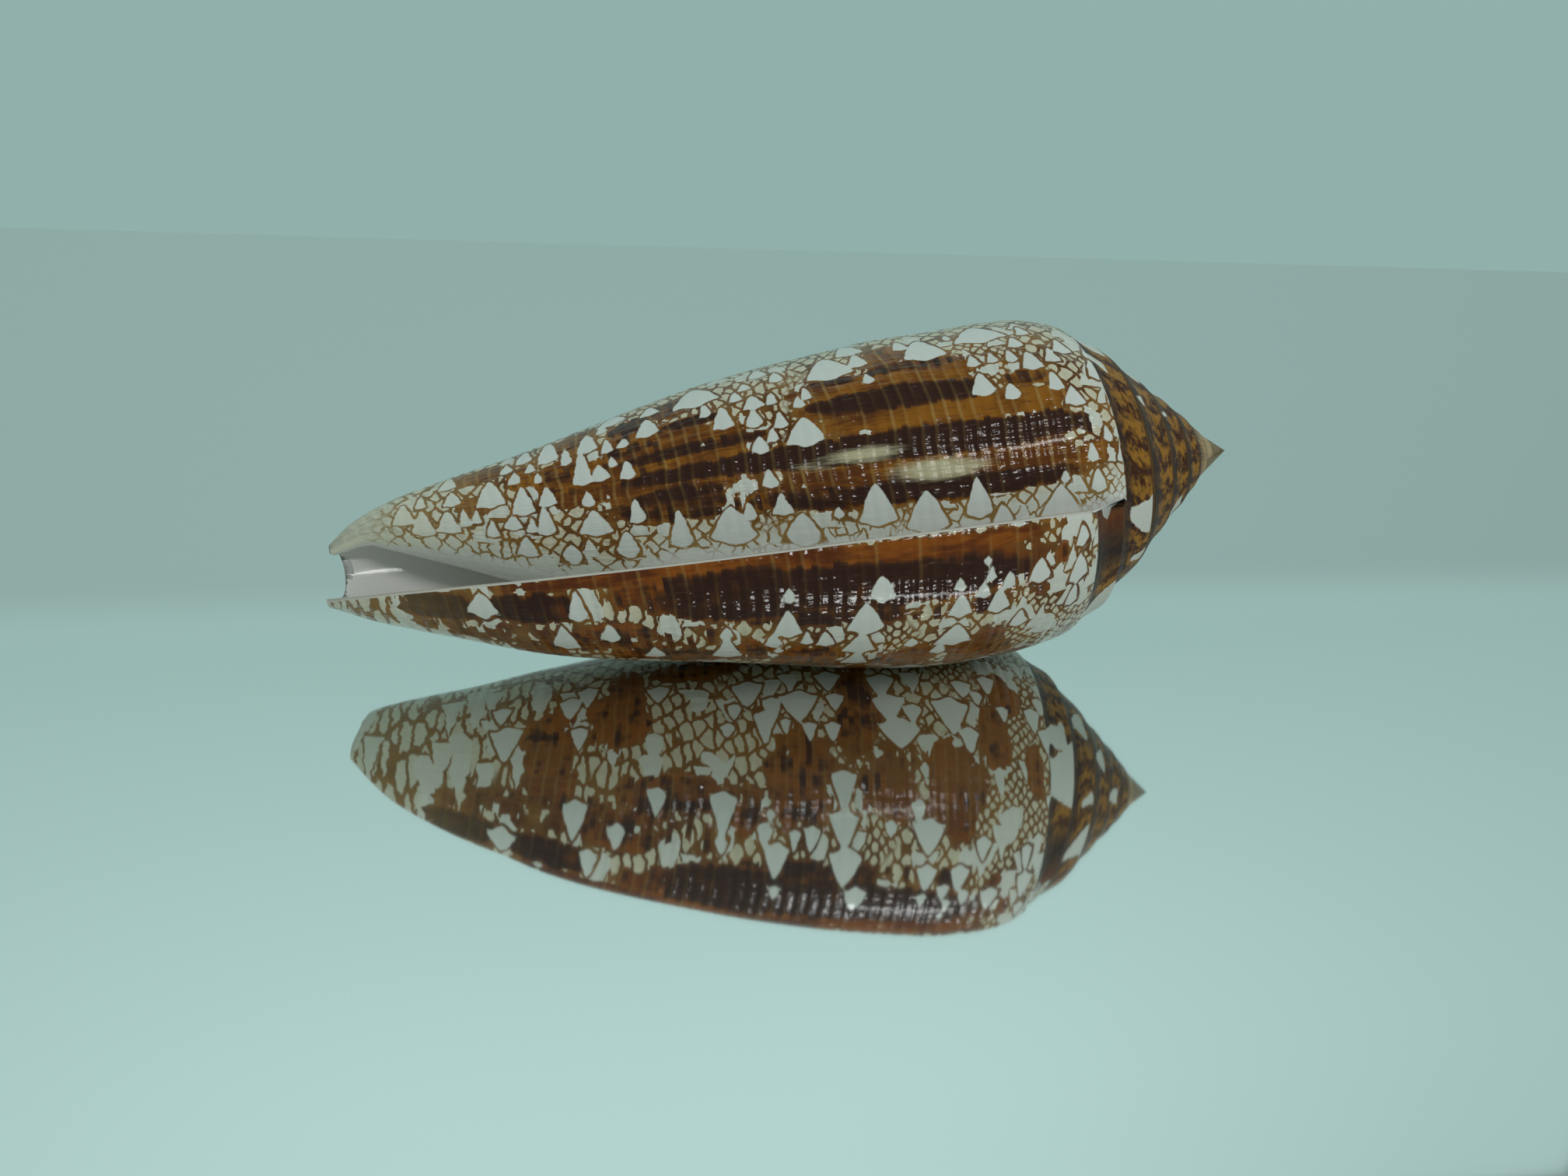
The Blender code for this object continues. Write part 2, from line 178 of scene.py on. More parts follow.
# White marks of the visible side: distance of the mark's point from the apex,
# direction of its point, direction of its base, half its width in millimetres.
WHITE_MARKS = (
    (24.1, 359.0, 373.5, 2.40), (29.1, 364.3, 379.6, 1.95), (30.7, 362.4, 370.8, 0.75),
    (37.0, 363.7, 380.4, 2.10), (34.5, 366.0, 376.8, 0.80), (34.8, 350.5, 366.0, 1.20),
    (34.2, 382.0, 387.5, 0.62), (42.5, 356.0, 366.5, 0.90), (41.2, 365.3, 374.4, 0.68),
    (48.0, 358.0, 377.0, 2.15), (46.1, 383.2, 396.4, 0.95), (43.5, 380.5, 389.0, 0.95),
    (40.0, 397.9, 410.0, 1.75), (43.6, 403.0, 411.0, 0.80), (41.7, 393.0, 401.0, 0.62),
    (43.3, 417.8, 425.5, 0.75), (42.5, 400.6, 406.5, 0.55), (25.6, 391.0, 400.5, 1.15),
    (23.5, 397.0, 403.6, 0.75), (21.2, 384.0, 392.6, 1.00), (18.7, 400.6, 408.5, 0.95),
    (19.9, 394.5, 402.5, 0.75), (18.1, 376.4, 384.8, 0.85), (20.5, 364.5, 373.0, 0.60),
    (21.7, 374.4, 380.5, 0.72), (19.3, 382.5, 390.0, 0.70), (16.0, 386.0, 396.5, 0.75),
    (14.9, 395.0, 408.0, 0.90), (15.3, 420.5, 429.0, 0.62), (16.5, 415.5, 421.5, 0.55),
    (18.1, 421.5, 428.5, 0.55), (17.8, 430.8, 439.0, 0.85), (27.6, 428.3, 442.0, 1.15),
    (31.6, 431.0, 445.5, 1.80), (35.4, 427.2, 442.0, 1.60), (21.1, 435.5, 447.5, 1.95),
    (42.6, 428.2, 437.0, 0.85), (45.2, 431.0, 438.5, 0.60), (46.6, 432.0, 448.5, 2.10),
    (50.7, 431.6, 449.8, 1.05), (41.2, 436.8, 449.3, 1.85), (25.8, 438.4, 447.3, 1.05),
    (20.6, 430.5, 434.5, 0.40), (38.4, 434.5, 439.5, 0.50), (14.9, 369.5, 386.0, 1.50),
    (22.6, 382.0, 388.0, 0.60), (24.1, 381.0, 387.0, 0.55), (25.7, 381.5, 387.5, 0.60),
    (26.6, 363.0, 368.5, 0.50), (39.3, 382.5, 389.5, 0.50), (40.0, 387.0, 393.0, 0.55),
    (42.0, 381.0, 388.5, 0.50), (43.9, 369.0, 375.5, 0.60), (44.8, 375.0, 382.0, 0.60),
    (47.4, 378.0, 387.0, 0.55), (43.7, 389.0, 398.5, 0.80), (51.8, 361.5, 372.0, 0.90),
    (55.0, 350.0, 366.5, 1.35), (55.9, 363.0, 372.0, 0.55), (52.2, 375.0, 388.5, 1.05),
    (54.2, 383.5, 391.0, 0.60), (55.6, 380.0, 391.5, 0.55), (57.2, 366.5, 386.5, 0.95),
    (59.0, 375.0, 391.5, 0.55), (57.8, 384.0, 409.0, 0.85), (56.4, 398.0, 409.0, 0.95),
    (54.2, 400.0, 411.0, 0.70), (55.3, 394.0, 402.0, 0.40), (60.5, 352.0, 384.0, 0.95),
    (62.5, 353.0, 376.0, 0.75), (64.0, 369.0, 382.5, 0.60), (62.0, 379.0, 389.0, 0.50),
    (63.3, 383.0, 396.5, 0.55), (65.4, 386.5, 414.0, 1.30), (68.6, 389.0, 408.0, 0.80),
    (69.0, 355.0, 384.0, 0.80), (61.4, 391.0, 401.0, 0.40), (62.8, 400.5, 423.5, 1.05),
    (60.8, 405.0, 419.0, 0.80), (57.6, 413.0, 423.0, 0.60), (53.9, 422.0, 435.5, 0.70),
    (61.2, 419.0, 440.0, 0.85), (63.8, 423.0, 435.0, 0.85), (62.3, 426.0, 438.0, 0.50),
    (57.3, 426.0, 441.0, 1.50), (69.1, 413.5, 440.0, 1.10), (71.3, 407.0, 445.0, 1.10),
    (72.9, 390.0, 428.0, 1.05), (71.3, 381.0, 404.0, 0.50), (67.7, 413.0, 432.0, 0.55),
    (66.7, 415.0, 429.0, 0.45), (65.5, 426.0, 442.0, 0.60), (55.0, 440.0, 455.0, 1.20),
    (59.5, 446.0, 462.0, 1.10), (63.0, 441.0, 458.0, 1.00),
    (21.1, 80.0, 85.5, 0.75), (21.3, 87.7, 95.5, 1.00), (24.8, 85.0, 91.5, 1.05),
    (27.3, 86.5, 91.0, 0.65), (29.0, 81.5, 84.0, 0.50), (28.8, 85.0, 88.0, 0.50),
    (29.3, 87.7, 92.3, 0.70), (31.1, 86.0, 89.2, 0.60), (28.0, 90.5, 97.5, 1.00),
    (31.0, 90.5, 97.0, 1.00), (36.9, 83.0, 89.6, 1.15), (38.1, 89.7, 99.6, 1.55),
    (43.7, 84.5, 88.5, 0.65), (43.9, 90.5, 99.8, 1.20), (48.5, 95.7, 100.5, 0.65),
    (48.5, 101.0, 113.0, 1.25), (41.1, 98.5, 105.0, 0.75), (42.5, 98.0, 104.0, 0.60),
    (45.0, 98.5, 105.0, 0.75), (44.6, 104.5, 109.0, 0.50), (31.1, 100.0, 109.0, 1.60),
    (32.0, 108.0, 114.3, 0.80), (38.4, 99.8, 109.5, 1.45), (38.5, 109.5, 121.0, 1.20),
    (34.4, 103.7, 108.0, 0.60), (26.0, 99.5, 105.5, 0.85), (21.5, 96.5, 104.0, 0.65),
    (17.9, 104.0, 120.0, 1.60), (59.1, 80.0, 90.5, 0.85), (60.6, 93.0, 106.5, 1.15),
    (66.3, 80.5, 91.0, 1.40), (57.1, 92.0, 100.5, 0.90), (54.0, 104.0, 113.0, 0.90),
    (28.4, 136.5, 149.3, 1.95), (26.9, 130.0, 139.0, 1.10), (33.3, 130.0, 139.5, 2.30),
    (32.0, 139.0, 146.0, 1.00), (34.1, 138.5, 149.3, 1.60), (38.8, 143.0, 149.7, 0.90),
    (39.2, 131.0, 138.0, 0.85), (42.0, 138.5, 150.8, 1.95), (41.2, 131.0, 138.0, 0.70),
    (43.2, 133.5, 139.5, 0.55), (44.3, 137.5, 149.0, 0.95), (45.0, 129.5, 143.0, 1.00),
    (46.4, 145.3, 157.0, 1.50), (47.6, 139.5, 147.0, 0.70), (48.2, 132.0, 138.0, 0.80),
    (20.1, 141.0, 150.5, 0.95), (23.2, 143.5, 149.0, 0.75), (18.8, 133.5, 143.0, 1.00),
    (19.0, 148.5, 156.0, 0.85), (25.6, 148.5, 154.0, 0.70), (27.0, 151.0, 157.8, 1.10),
    (24.4, 154.0, 161.5, 0.95), (34.6, 148.5, 158.0, 1.40), (39.3, 151.5, 159.5, 1.30),
    (54.1, 150.5, 159.5, 1.10), (60.7, 127.5, 139.5, 0.80), (61.6, 145.5, 158.5, 1.15),
    (60.2, 152.0, 164.5, 1.00), (66.8, 121.0, 142.0, 1.50), (67.4, 145.5, 158.5, 0.90),
)
# Brown fields: centre along the axis, direction, half length, half width in degrees,
# amount of ochre, amount of chocolate.
BROWN_FIELDS = (
    (32.8, 387.0, 6.6, 4.4, 1.0, 0.10), (32.6, 396.0, 6.8, 5.2, 1.0, 1.00),
    (29.0, 404.8, 9.6, 4.6, 1.0, 0.05), (30.5, 382.0, 4.0, 2.6, 0.9, 0.80),
    (37.0, 382.8, 2.0, 2.4, 0.9, 0.70), (32.3, 373.0, 1.7, 7.0, 0.9, 0.40),
    (33.5, 414.5, 17.5, 5.4, 1.0, 1.00), (51.5, 408.0, 7.0, 18.0, 1.0, 0.30),
    (48.5, 387.5, 2.6, 3.2, 0.9, 1.00), (49.0, 402.5, 6.5, 3.0, 1.0, 0.95),
    (49.0, 414.5, 6.5, 3.6, 1.0, 1.00), (50.5, 423.5, 3.6, 3.4, 1.0, 0.85),
    (50.5, 372.0, 1.6, 8.0, 0.9, 0.55), (53.5, 376.5, 1.8, 6.5, 0.9, 0.75),
    (29.0, 425.5, 12.5, 6.0, 1.0, 0.12), (37.5, 428.0, 6.0, 8.0, 0.95, 0.35),
    (29.5, 431.0, 11.0, 4.0, 1.0, 0.95), (40.0, 431.0, 5.0, 4.8, 0.9, 0.75),
    (51.0, 430.0, 5.0, 7.0, 0.8, 0.60), (59.5, 404.0, 2.2, 17.0, 1.00, 0.40),
    (58.3, 372.0, 1.6, 14.0, 0.95, 0.40), (66.3, 374.0, 2.0, 12.0, 1.00, 0.30),
    (66.9, 412.0, 1.4, 10.0, 0.8, 0.25), (22.0, 395.5, 1.8, 3.0, 0.7, 0.50),
    (53.5, 390.0, 2.6, 9.0, 0.9, 0.50), (63.0, 392.0, 1.0, 10.0, 0.8, 0.30),
    (45.0, 78.2, 20.0, 2.6, 1.0, 0.02), (37.5, 85.5, 12.5, 5.6, 1.0, 1.00),
    (47.0, 86.0, 6.5, 6.5, 1.0, 1.00), (36.0, 94.0, 11.0, 3.0, 0.55, 0.70),
    (53.5, 83.0, 3.5, 4.0, 0.8, 0.40), (62.7, 86.5, 3.6, 6.0, 0.85, 0.80),
    (70.0, 88.0, 3.6, 7.5, 0.8, 0.90), (28.6, 119.5, 2.5, 15.0, 0.70, 0.38),
    (34.6, 121.0, 2.6, 12.0, 0.64, 0.42), (42.0, 119.5, 3.0, 16.0, 0.74, 0.42),
    (46.5, 109.0, 1.8, 7.0, 0.62, 0.35), (37.0, 142.0, 1.8, 20.0, 0.72, 0.46),
    (24.3, 139.0, 1.5, 12.0, 0.66, 0.35), (23.0, 155.0, 1.6, 8.0, 0.66, 0.38),
    (57.5, 144.0, 2.4, 15.0, 0.72, 0.42), (57.0, 163.0, 1.7, 9.0, 0.66, 0.40),
    (63.0, 128.0, 2.2, 24.0, 0.72, 0.36), (51.0, 168.0, 4.0, 6.0, 0.70, 0.38),
    (52.5, 112.0, 5.0, 6.0, 0.8, 0.50), (20.5, 126.0, 1.0, 9.0, 0.8, 0.30),
    (36.0, 178.0, 12.0, 8.0, 0.9, 0.40), (60.0, 101.0, 12.0, 8.0, 0.46, 0.45),
)
# Pale patches, partly wear and partly painted highlight where the gloss glares: centre along the axis,
# direction, half length, half width, strength.
WEAR_AND_GLARE_FIELDS = (
    (30.4, 424.5, 3.6, 3.6, 0.75), (35.9, 416.5, 3.0, 2.8, 0.65), (40.0, 419.0, 1.8, 2.2, 0.35),
)
# White marks on the ramps: turns behind the lip, share across, half turn, half share.
RAMP_MARKS = (
    (0.130, 0.55, 0.045, 0.70), (0.175, 0.35, 0.020, 0.40), (0.795, 0.35, 0.022, 0.60),
    (0.845, 0.28, 0.010, 0.25), (1.018, 0.62, 0.030, 0.42), (1.085, 0.70, 0.012, 0.28),
    (1.205, 0.50, 0.030, 0.30), (1.800, 0.60, 0.024, 0.38), (1.872, 0.25, 0.010, 0.14),
    (2.160, 0.45, 0.030, 0.30), (2.745, 0.55, 0.030, 0.50), (2.875, 0.22, 0.012, 0.16),
    (3.080, 0.50, 0.030, 0.35), (3.745, 0.50, 0.035, 0.45), (0.330, 0.50, 0.030, 0.45),
    (0.470, 0.35, 0.024, 0.40), (0.610, 0.60, 0.035, 0.50), (1.380, 0.40, 0.026, 0.40),
    (1.560, 0.65, 0.032, 0.40), (2.350, 0.60, 0.034, 0.40), (2.560, 0.40, 0.026, 0.35),
)


def smooth_table(table, column, position):
    """Read a table of stations with a smooth curve that never overshoots."""
    places, values = table[:, 0], table[:, column]
    slopes = np.diff(values) / np.diff(places)
    before, after = slopes[:-1], slopes[1:]
    total = np.where(before + after == 0.0, 1.0, before + after)
    middle = np.where(before * after > 0.0, 2.0 * before * after / total, 0.0)
    tangents = np.concatenate((slopes[:1], middle, slopes[-1:]))
    x = np.clip(position, places[0], places[-1])
    index = np.clip(np.searchsorted(places, x, side="left") - 1, 0, len(places) - 2)
    span = places[index + 1] - places[index]
    t = (x - places[index]) / span
    first = (2 * t ** 3 - 3 * t ** 2 + 1) * values[index]
    second = (t ** 3 - 2 * t ** 2 + t) * span * tangents[index]
    third = (3 * t ** 2 - 2 * t ** 3) * values[index + 1]
    fourth = (t ** 3 - t ** 2) * span * tangents[index + 1]
    return first + second + third + fourth


def radius_at(u):
    return smooth_table(SECTIONS, 1, u)


def lip_polar(u):
    """The lip's direction and distance seen from the section's centre."""
    rise = smooth_table(LIP_EDGE, 1, u) - smooth_table(SECTIONS, 2, u)
    reach = smooth_table(LIP_EDGE, 2, u) - smooth_table(SECTIONS, 3, u)
    return np.degrees(np.arctan2(reach, rise)), np.hypot(rise, reach)


def shoulder(turns):
    return SHOULDER_START * np.exp(-(SHOULDER_RATE * turns + SHOULDER_TIGHTEN * turns * turns))


def full_wall(u):
    share = np.clip((u - WALL_TAPER_START) / (LENGTH - WALL_TAPER_START), 0.0, 1.0)
    return WALL_BODY + (WALL_END - WALL_BODY) * share


def wall(u, angle, lip_angle):
    full = full_wall(u)
    near = np.clip((angle - lip_angle) / LIP_TAPER, 0.0, 1.0)
    return np.minimum(full, WALL_LIP + (full - WALL_LIP) * near)


def flare(u, angle):
    lip_angle, lip_reach = lip_polar(u)
    part = np.clip((angle - lip_angle) / (LIP_BLEND - lip_angle), 0.0, 1.0)
    return (lip_reach - radius_at(u)) * np.cos(0.5 * np.pi * part) ** 2


def place(u, up, side):
    """Section coordinates in millimetres to positions in millimetres."""
    x = APEX[0] - u * math.cos(AXIS_TILT) - up * math.sin(AXIS_TILT)
    z = APEX[2] - u * math.sin(AXIS_TILT) + up * math.cos(AXIS_TILT)
    return np.stack((x, APEX[1] - side, z), -1)


def outer_point(u, angle, depth=0.0, lift=1.0):
    """Points on the newest whorl, so deep below its outside, with so much of its flare."""
    reach = radius_at(u) + lift * flare(u, angle) - depth
    up = smooth_table(SECTIONS, 2, u) + reach * np.cos(np.radians(angle))
    side = smooth_table(SECTIONS, 3, u) + reach * np.sin(np.radians(angle))
    return place(u, up, side)


def inner_point(u, angle):
    """Points on the older whorl, which touches the newest one from inside."""
    shift = smooth_table(INNER_SHIFT, 1, u)
    reach = radius_at(u) - shift
    turn = math.radians(INNER_SIDE)
    up = smooth_table(SECTIONS, 2, u) + shift * math.cos(turn) + reach * np.cos(np.radians(angle))
    side = smooth_table(SECTIONS, 3, u) + shift * math.sin(turn) + reach * np.sin(np.radians(angle))
    return place(u, up, side)


def cavity_end(u):
    """Where the inner whorl meets the outer wall's inside, as two directions."""
    radius, shift, thick = radius_at(u), smooth_table(INNER_SHIFT, 1, u), full_wall(u)
    core = radius - shift
    cosine = 1.0 - (2.0 * radius * thick - thick * thick) / np.maximum(2.0 * shift * core, 1e-6)
    turn = np.arccos(np.clip(cosine, -1.0, 1.0))
    outer = np.degrees(np.arctan2(core * np.sin(turn), shift + core * np.cos(turn)))
    return INNER_SIDE + 360.0 - np.degrees(turn), INNER_SIDE - outer


def end_reach(angle, lip_angle):
    share = np.clip((angle - lip_angle) / (END_NOTCH_LAST - lip_angle), 0.0, 1.0)
    return LENGTH - END_NOTCH * np.sin(np.pi * share) ** 2


def turn_angle(part, lip_angle):
    """Direction of a point so far round the last turn, counted from the lip."""
    first = lip_angle + (INNER_SIDE - lip_angle) * part / OUTER_SHARE
    share = (part - OUTER_SHARE) / (1.0 - OUTER_SHARE)
    second = INNER_SIDE + (360.0 + lip_angle - INNER_SIDE) * share
    return np.where(part <= OUTER_SHARE, first, second)


def waves(count, seed, lowest, highest):
    """A sum of sine waves with fixed pseudo-random phases, between -1 and 1."""
    source = np.random.default_rng(seed)
    rates = source.uniform(lowest, highest, count)
    phases = source.uniform(0.0, 2.0 * math.pi, count)
    heights = source.uniform(0.5, 1.0, count)

    def read(x):
        total = 0.0
        for rate, phase, height in zip(rates, phases, heights):
            total = total + height * np.sin(rate * x + phase)
        return total / heights.sum()

    return read


def relief(u, angle, strength):
    """Height of spiral threads, growth lines and slow unevenness, in millimetres."""
    wander = waves(5, 11, 0.05, 0.35)
    lines = waves(9, 12, 1.2, 4.5)
    slow = waves(6, 13, 0.10, 0.55)
    drift = waves(4, 14, 0.02, 0.09)
    arc = np.radians(angle) * RELIEF_RADIUS
    phase = 2.0 * math.pi * (u + 0.16 * wander(arc)) / THREAD_PITCH
    thread = (0.5 + 0.5 * np.sin(phase)) ** 2
    growth = lines(arc + 0.3 * wander(u * 3.0))
    bead = 0.5 + 0.5 * lines(arc * 1.9 + 4.0)
    fine = THREAD_HEIGHT * thread * (0.6 + 0.8 * bead) + GROWTH_HEIGHT * growth
    broad = SWELL_HEIGHT * slow(arc * 0.8 + 0.1 * u) + DRIFT_HEIGHT * drift(u * 4.0 + arc)
    return strength * fine + broad


class Sheet:
    """Collects vertices with their surface coordinates, and the faces between them."""

    FIELDS = ("axial", "sweep", "turn", "ramp", "inside", "rim")

    def __init__(self):
        self.points = []
        self.values = {name: [] for name in self.FIELDS}
        self.faces = []
        self.count = 0

    def add(self, points, **values):
        """Add a block of vertices and return their numbers in the same layout."""
        shape = points.shape[:-1]
        self.points.append(points.reshape(-1, 3))
        for name in self.FIELDS:
            block = np.broadcast_to(np.asarray(values.get(name, 0.0), dtype=float), shape)
            self.values[name].append(block.reshape(-1))
        size = int(np.prod(shape))
        numbers = np.arange(self.count, self.count + size).reshape(shape)
        self.count += size
        return numbers

    def quads(self, grid):
        """Faces over a grid of vertex numbers."""
        a, b = grid[:-1, :-1].ravel(), grid[1:, :-1].ravel()
        c, d = grid[1:, 1:].ravel(), grid[:-1, 1:].ravel()
        self.faces.extend(zip(a.tolist(), b.tolist(), c.tolist(), d.tolist()))

    def face(self, numbers):
        self.faces.append(tuple(int(number) for number in numbers))


def whorl_grid(u, angle, part):
    """Outside of the last turn: the outer whorl, then the older one inside it."""
    first = outer_point(u, angle)
    second = inner_point(u, angle)
    return np.where((part <= OUTER_SHARE)[..., None], first, second)


def build_body(sheet):
    part = np.arange(TURN_STEPS + 1) / TURN_STEPS
    share = np.arange(BODY_STEPS + 1) / BODY_STEPS
    part_grid, share_grid = np.meshgrid(part, share)
    start = shoulder(part_grid)
    rough = start + (LENGTH - start) * share_grid
    lip_angle = lip_polar(rough)[0]
    rim = end_reach(turn_angle(part_grid, lip_angle), lip_angle)
    u = start + (rim - start) * share_grid
    angle = turn_angle(part_grid, lip_polar(u)[0])
    points = whorl_grid(u, angle, part_grid)
    return sheet.add(points, axial=u, sweep=np.radians(angle), turn=part_grid, ramp=0.0)


def ramp_grid(turns, share):
    """The ramp between two seams, a share of the way from the shoulder to the seam."""
    outer = shoulder(turns)
    inner = shoulder(turns + 1.0) * (1.0 + SUTURE_STEP)
    u = outer + (inner - outer) * share
    angle = turn_angle(turns % 1.0, lip_polar(u)[0])
    newest = outer_point(u, angle, 0.0, 1.0 - share)
    older = inner_point(u, angle)
    is_new = (turns < 1.0) & (turns <= OUTER_SHARE)
    points = np.where(is_new[..., None], newest, older)
    centre = place(u, 0.0 * u, 0.0 * u)
    away = points - centre
    length = np.linalg.norm(away, axis=-1, keepdims=True)
    hollow = (RAMP_HOLLOW * u * np.sin(np.pi * share))[..., None]
    points = np.where(length > hollow, points - away / np.maximum(length, 1e-6) * hollow, points)
    return points, u, angle


def build_ramps(sheet, body):
    """Rows of the spiral ramp, from the crest at the shoulder down to the next seam."""
    columns = SPIRE_TURNS * TURN_STEPS
    turns = np.arange(columns + 1) / TURN_STEPS
    rows = []
    crest = np.empty(columns + 1, dtype=int)
    crest[:TURN_STEPS + 1] = body[0]
    later = turns[TURN_STEPS + 1:]
    points, u, angle = ramp_grid(later, 0.0 * later)
    sweep = np.radians(angle) + 2.0 * math.pi * np.floor(later)
    crest[TURN_STEPS + 1:] = sheet.add(points, axial=u, sweep=sweep, turn=later, ramp=0.08)
    rows.append(crest)
    for step in range(1, RAMP_STEPS + 1):
        share = np.full_like(turns, step / RAMP_STEPS)
        points, u, angle = ramp_grid(turns, share)
        sweep = np.radians(angle) + 2.0 * math.pi * np.floor(turns)
        rows.append(sheet.add(points, axial=u, sweep=sweep, turn=turns, ramp=share))
    grid = np.stack(rows)
    sheet.quads(grid[:, ::-1])
    below = grid[-1][:columns - TURN_STEPS + 1]
    above = crest[TURN_STEPS:]
    sheet.quads(np.stack((below, above))[:, ::-1])
    tip = int(sheet.add(place(np.zeros(1), np.zeros(1), np.zeros(1)), turn=SPIRE_TURNS, ramp=1.0)[0])
    loop = list(grid[-1][columns - TURN_STEPS:]) + [row[columns] for row in rows[-2::-1]]
    for first, second in zip(loop, loop[1:] + loop[:1]):
        sheet.face((first, second, tip))
    return rows


def build_cavity(sheet, body, rows):
    """The gap behind the lip: the older whorl on one side, the wall's inside on the other."""
    share = np.arange(1, BODY_STEPS + 1) / BODY_STEPS
    part = (np.arange(CAVITY_STEPS + 1) / CAVITY_STEPS) ** CAVITY_CROWDING
    part_grid, share_grid = np.meshgrid(part, share)
    first_turn, last_turn = shoulder(1.0), shoulder(CAVITY_TURNS)
    start = first_turn + (last_turn - first_turn) * part_grid
    floor_u = start + (LENGTH - start) * share_grid
    roof_start = shoulder(CAVITY_TURNS * part_grid)
    roof_u = roof_start + (LENGTH - roof_start) * share_grid
    lip_end = lip_polar(np.array(LENGTH))[0]
    roof_end = cavity_end(np.array(LENGTH))[1]
    last_u = end_reach(lip_end + (roof_end - lip_end) * part, lip_end)
    floor_u[-1] = last_u
    roof_u[-1] = last_u
    lip_angle = lip_polar(floor_u)[0]
    floor_angle = 360.0 + lip_angle + (cavity_end(floor_u)[0] - 360.0 - lip_angle) * part_grid
    floor_points = inner_point(floor_u, floor_angle)
    lip_angle = lip_polar(roof_u)[0]
    roof_angle = lip_angle + (cavity_end(roof_u)[1] - lip_angle) * part_grid
    depth = wall(roof_u, roof_angle, lip_angle)
    roof_points = outer_point(roof_u, roof_angle, depth)

    floor_new = sheet.add(floor_points[:, 1:], axial=floor_u[:, 1:],
                          sweep=np.radians(floor_angle[:, 1:]), turn=1.0 + part_grid[:, 1:])
    floor_side = np.concatenate((body[1:, -1:], floor_new), axis=1)
    roof_new = sheet.add(roof_points[1:, :-1], axial=roof_u[1:, :-1], inside=1.0,
                         sweep=np.radians(roof_angle[1:, :-1]), turn=part_grid[1:, :-1])
    roof_side = np.concatenate((roof_new, floor_side[1:, -1:]), axis=1)
    roof_side = np.concatenate((floor_side[:1], roof_side), axis=0)
    sheet.quads(floor_side)
    sheet.quads(roof_side[:, ::-1])

    # The lip's rounded edge.
    outer_edge, inner_edge = body[2:, 0], roof_side[1:, 0]
    place_of = np.concatenate(sheet.points)
    start_points, end_points = place_of[outer_edge], place_of[inner_edge]
    middle = 0.5 * (start_points + end_points)
    half = 0.5 * (start_points - end_points)
    edge_u = floor_u[1:, 0]
    edge_angle = lip_polar(edge_u)[0]
    beyond = outer_point(edge_u, edge_angle - 1.0, 0.0) - outer_point(edge_u, edge_angle)
    beyond /= np.linalg.norm(beyond, axis=-1, keepdims=True)
    size = np.linalg.norm(half, axis=-1, keepdims=True)
    strips = [outer_edge]
    for step in range(1, LIP_STEPS):
        turn = math.pi * step / LIP_STEPS
        points = middle + half * math.cos(turn) + beyond * size * 0.8 * math.sin(turn)
        strips.append(sheet.add(points, axial=edge_u, sweep=np.radians(edge_angle), inside=0.3, rim=1.0))
    strips.append(inner_edge)
    strips = np.stack(strips, axis=1)
    sheet.quads(strips[:, ::-1])
    corner = [strips[0][index] for index in range(LIP_STEPS, -1, -1)]
    corner += [body[1][0]] + [row[0] for row in rows]
    corner += [body[0][TURN_STEPS], body[1][TURN_STEPS]]
    sheet.face(corner[::-1])

    # The front end: a rounded band round the opening, then the closed core.
    rim_outer, rim_inner = body[-1], roof_side[-1]
    lip_angle = float(lip_end)
    target_end = float(roof_end)
    reached_column = 0
    last_outer = int(round(OUTER_SHARE * TURN_STEPS))
    for column in range(CAVITY_STEPS):
        target = lip_angle + (target_end - lip_angle) * part[column + 1]
        corners = [rim_inner[column], rim_inner[column + 1]]
        reached = [rim_outer[reached_column]]
        if column == 0:
            reached = list(strips[-1][1:-1][::-1]) + reached
        while (reached_column < last_outer
               and turn_angle((reached_column + 1) / TURN_STEPS, lip_angle) <= target + RIM_PAIRING):
            reached_column += 1
            reached.append(rim_outer[reached_column])
        sheet.face((corners + reached[::-1])[::-1])
    core = list(rim_outer[reached_column:]) + list(floor_side[-1][1:])
    sheet.face(core[::-1])


def point_normals(mesh):
    normals = np.empty(len(mesh.vertices) * 3)
    mesh.vertices.foreach_get("normal", normals)
    return normals.reshape(-1, 3)


def mark_distance(u, angle, radius):
    """Distance in millimetres to the nearest white mark, negative inside one."""
    best = np.full(len(u), NO_MARK)
    scale = np.radians(1.0) * radius
    for mark_u, point_angle, base_angle, half in all_marks():
        across = np.abs(u - mark_u)
        near = (across < half + 2.5) & (angle > point_angle - 12.0) & (angle < base_angle + 12.0)
        if not near.any():
            continue
        height = (base_angle - point_angle) * scale[near]
        along = (angle[near] - point_angle) * scale[near]
        part = np.clip(along / height, 0.0, 1.0)
        bulge = part ** 0.72 * (1.0 - 0.10 * np.clip(part - 0.85, 0.0, 1.0) / 0.15)
        slope = height / np.hypot(height, half)
        beside = (across[near] - half * bulge) * slope
        scallop = 0.12 * half * np.cos(across[near] / half * 4.2)
        beyond = along - height - scallop
        above = np.where(along < 0.0, np.hypot(along, across[near]), -9.0)
        distance = np.maximum(np.maximum(beside, beyond), above)
        best[near] = np.minimum(best[near], distance)
    return best


def ramp_mark_distance(turns, share):
    """Distance in millimetres to the nearest white mark of the ramps."""
    best = np.full(len(turns), NO_MARK)
    pace = 2.0 * math.pi * radius_at(shoulder(turns))
    width = (shoulder(turns) - shoulder(turns + 1.0)) * RAMP_SLOPE
    for centre, middle, half_turn, half_share in RAMP_MARKS:
        part = np.clip((share - middle) / half_share, -1.0, 1.0)
        half = half_turn * (0.62 + 0.38 * part)
        along = (np.abs(turns - centre) - half) * pace
        across = (np.abs(share - middle) - half_share) * width
        best = np.minimum(best, np.maximum(along, across))
    return best


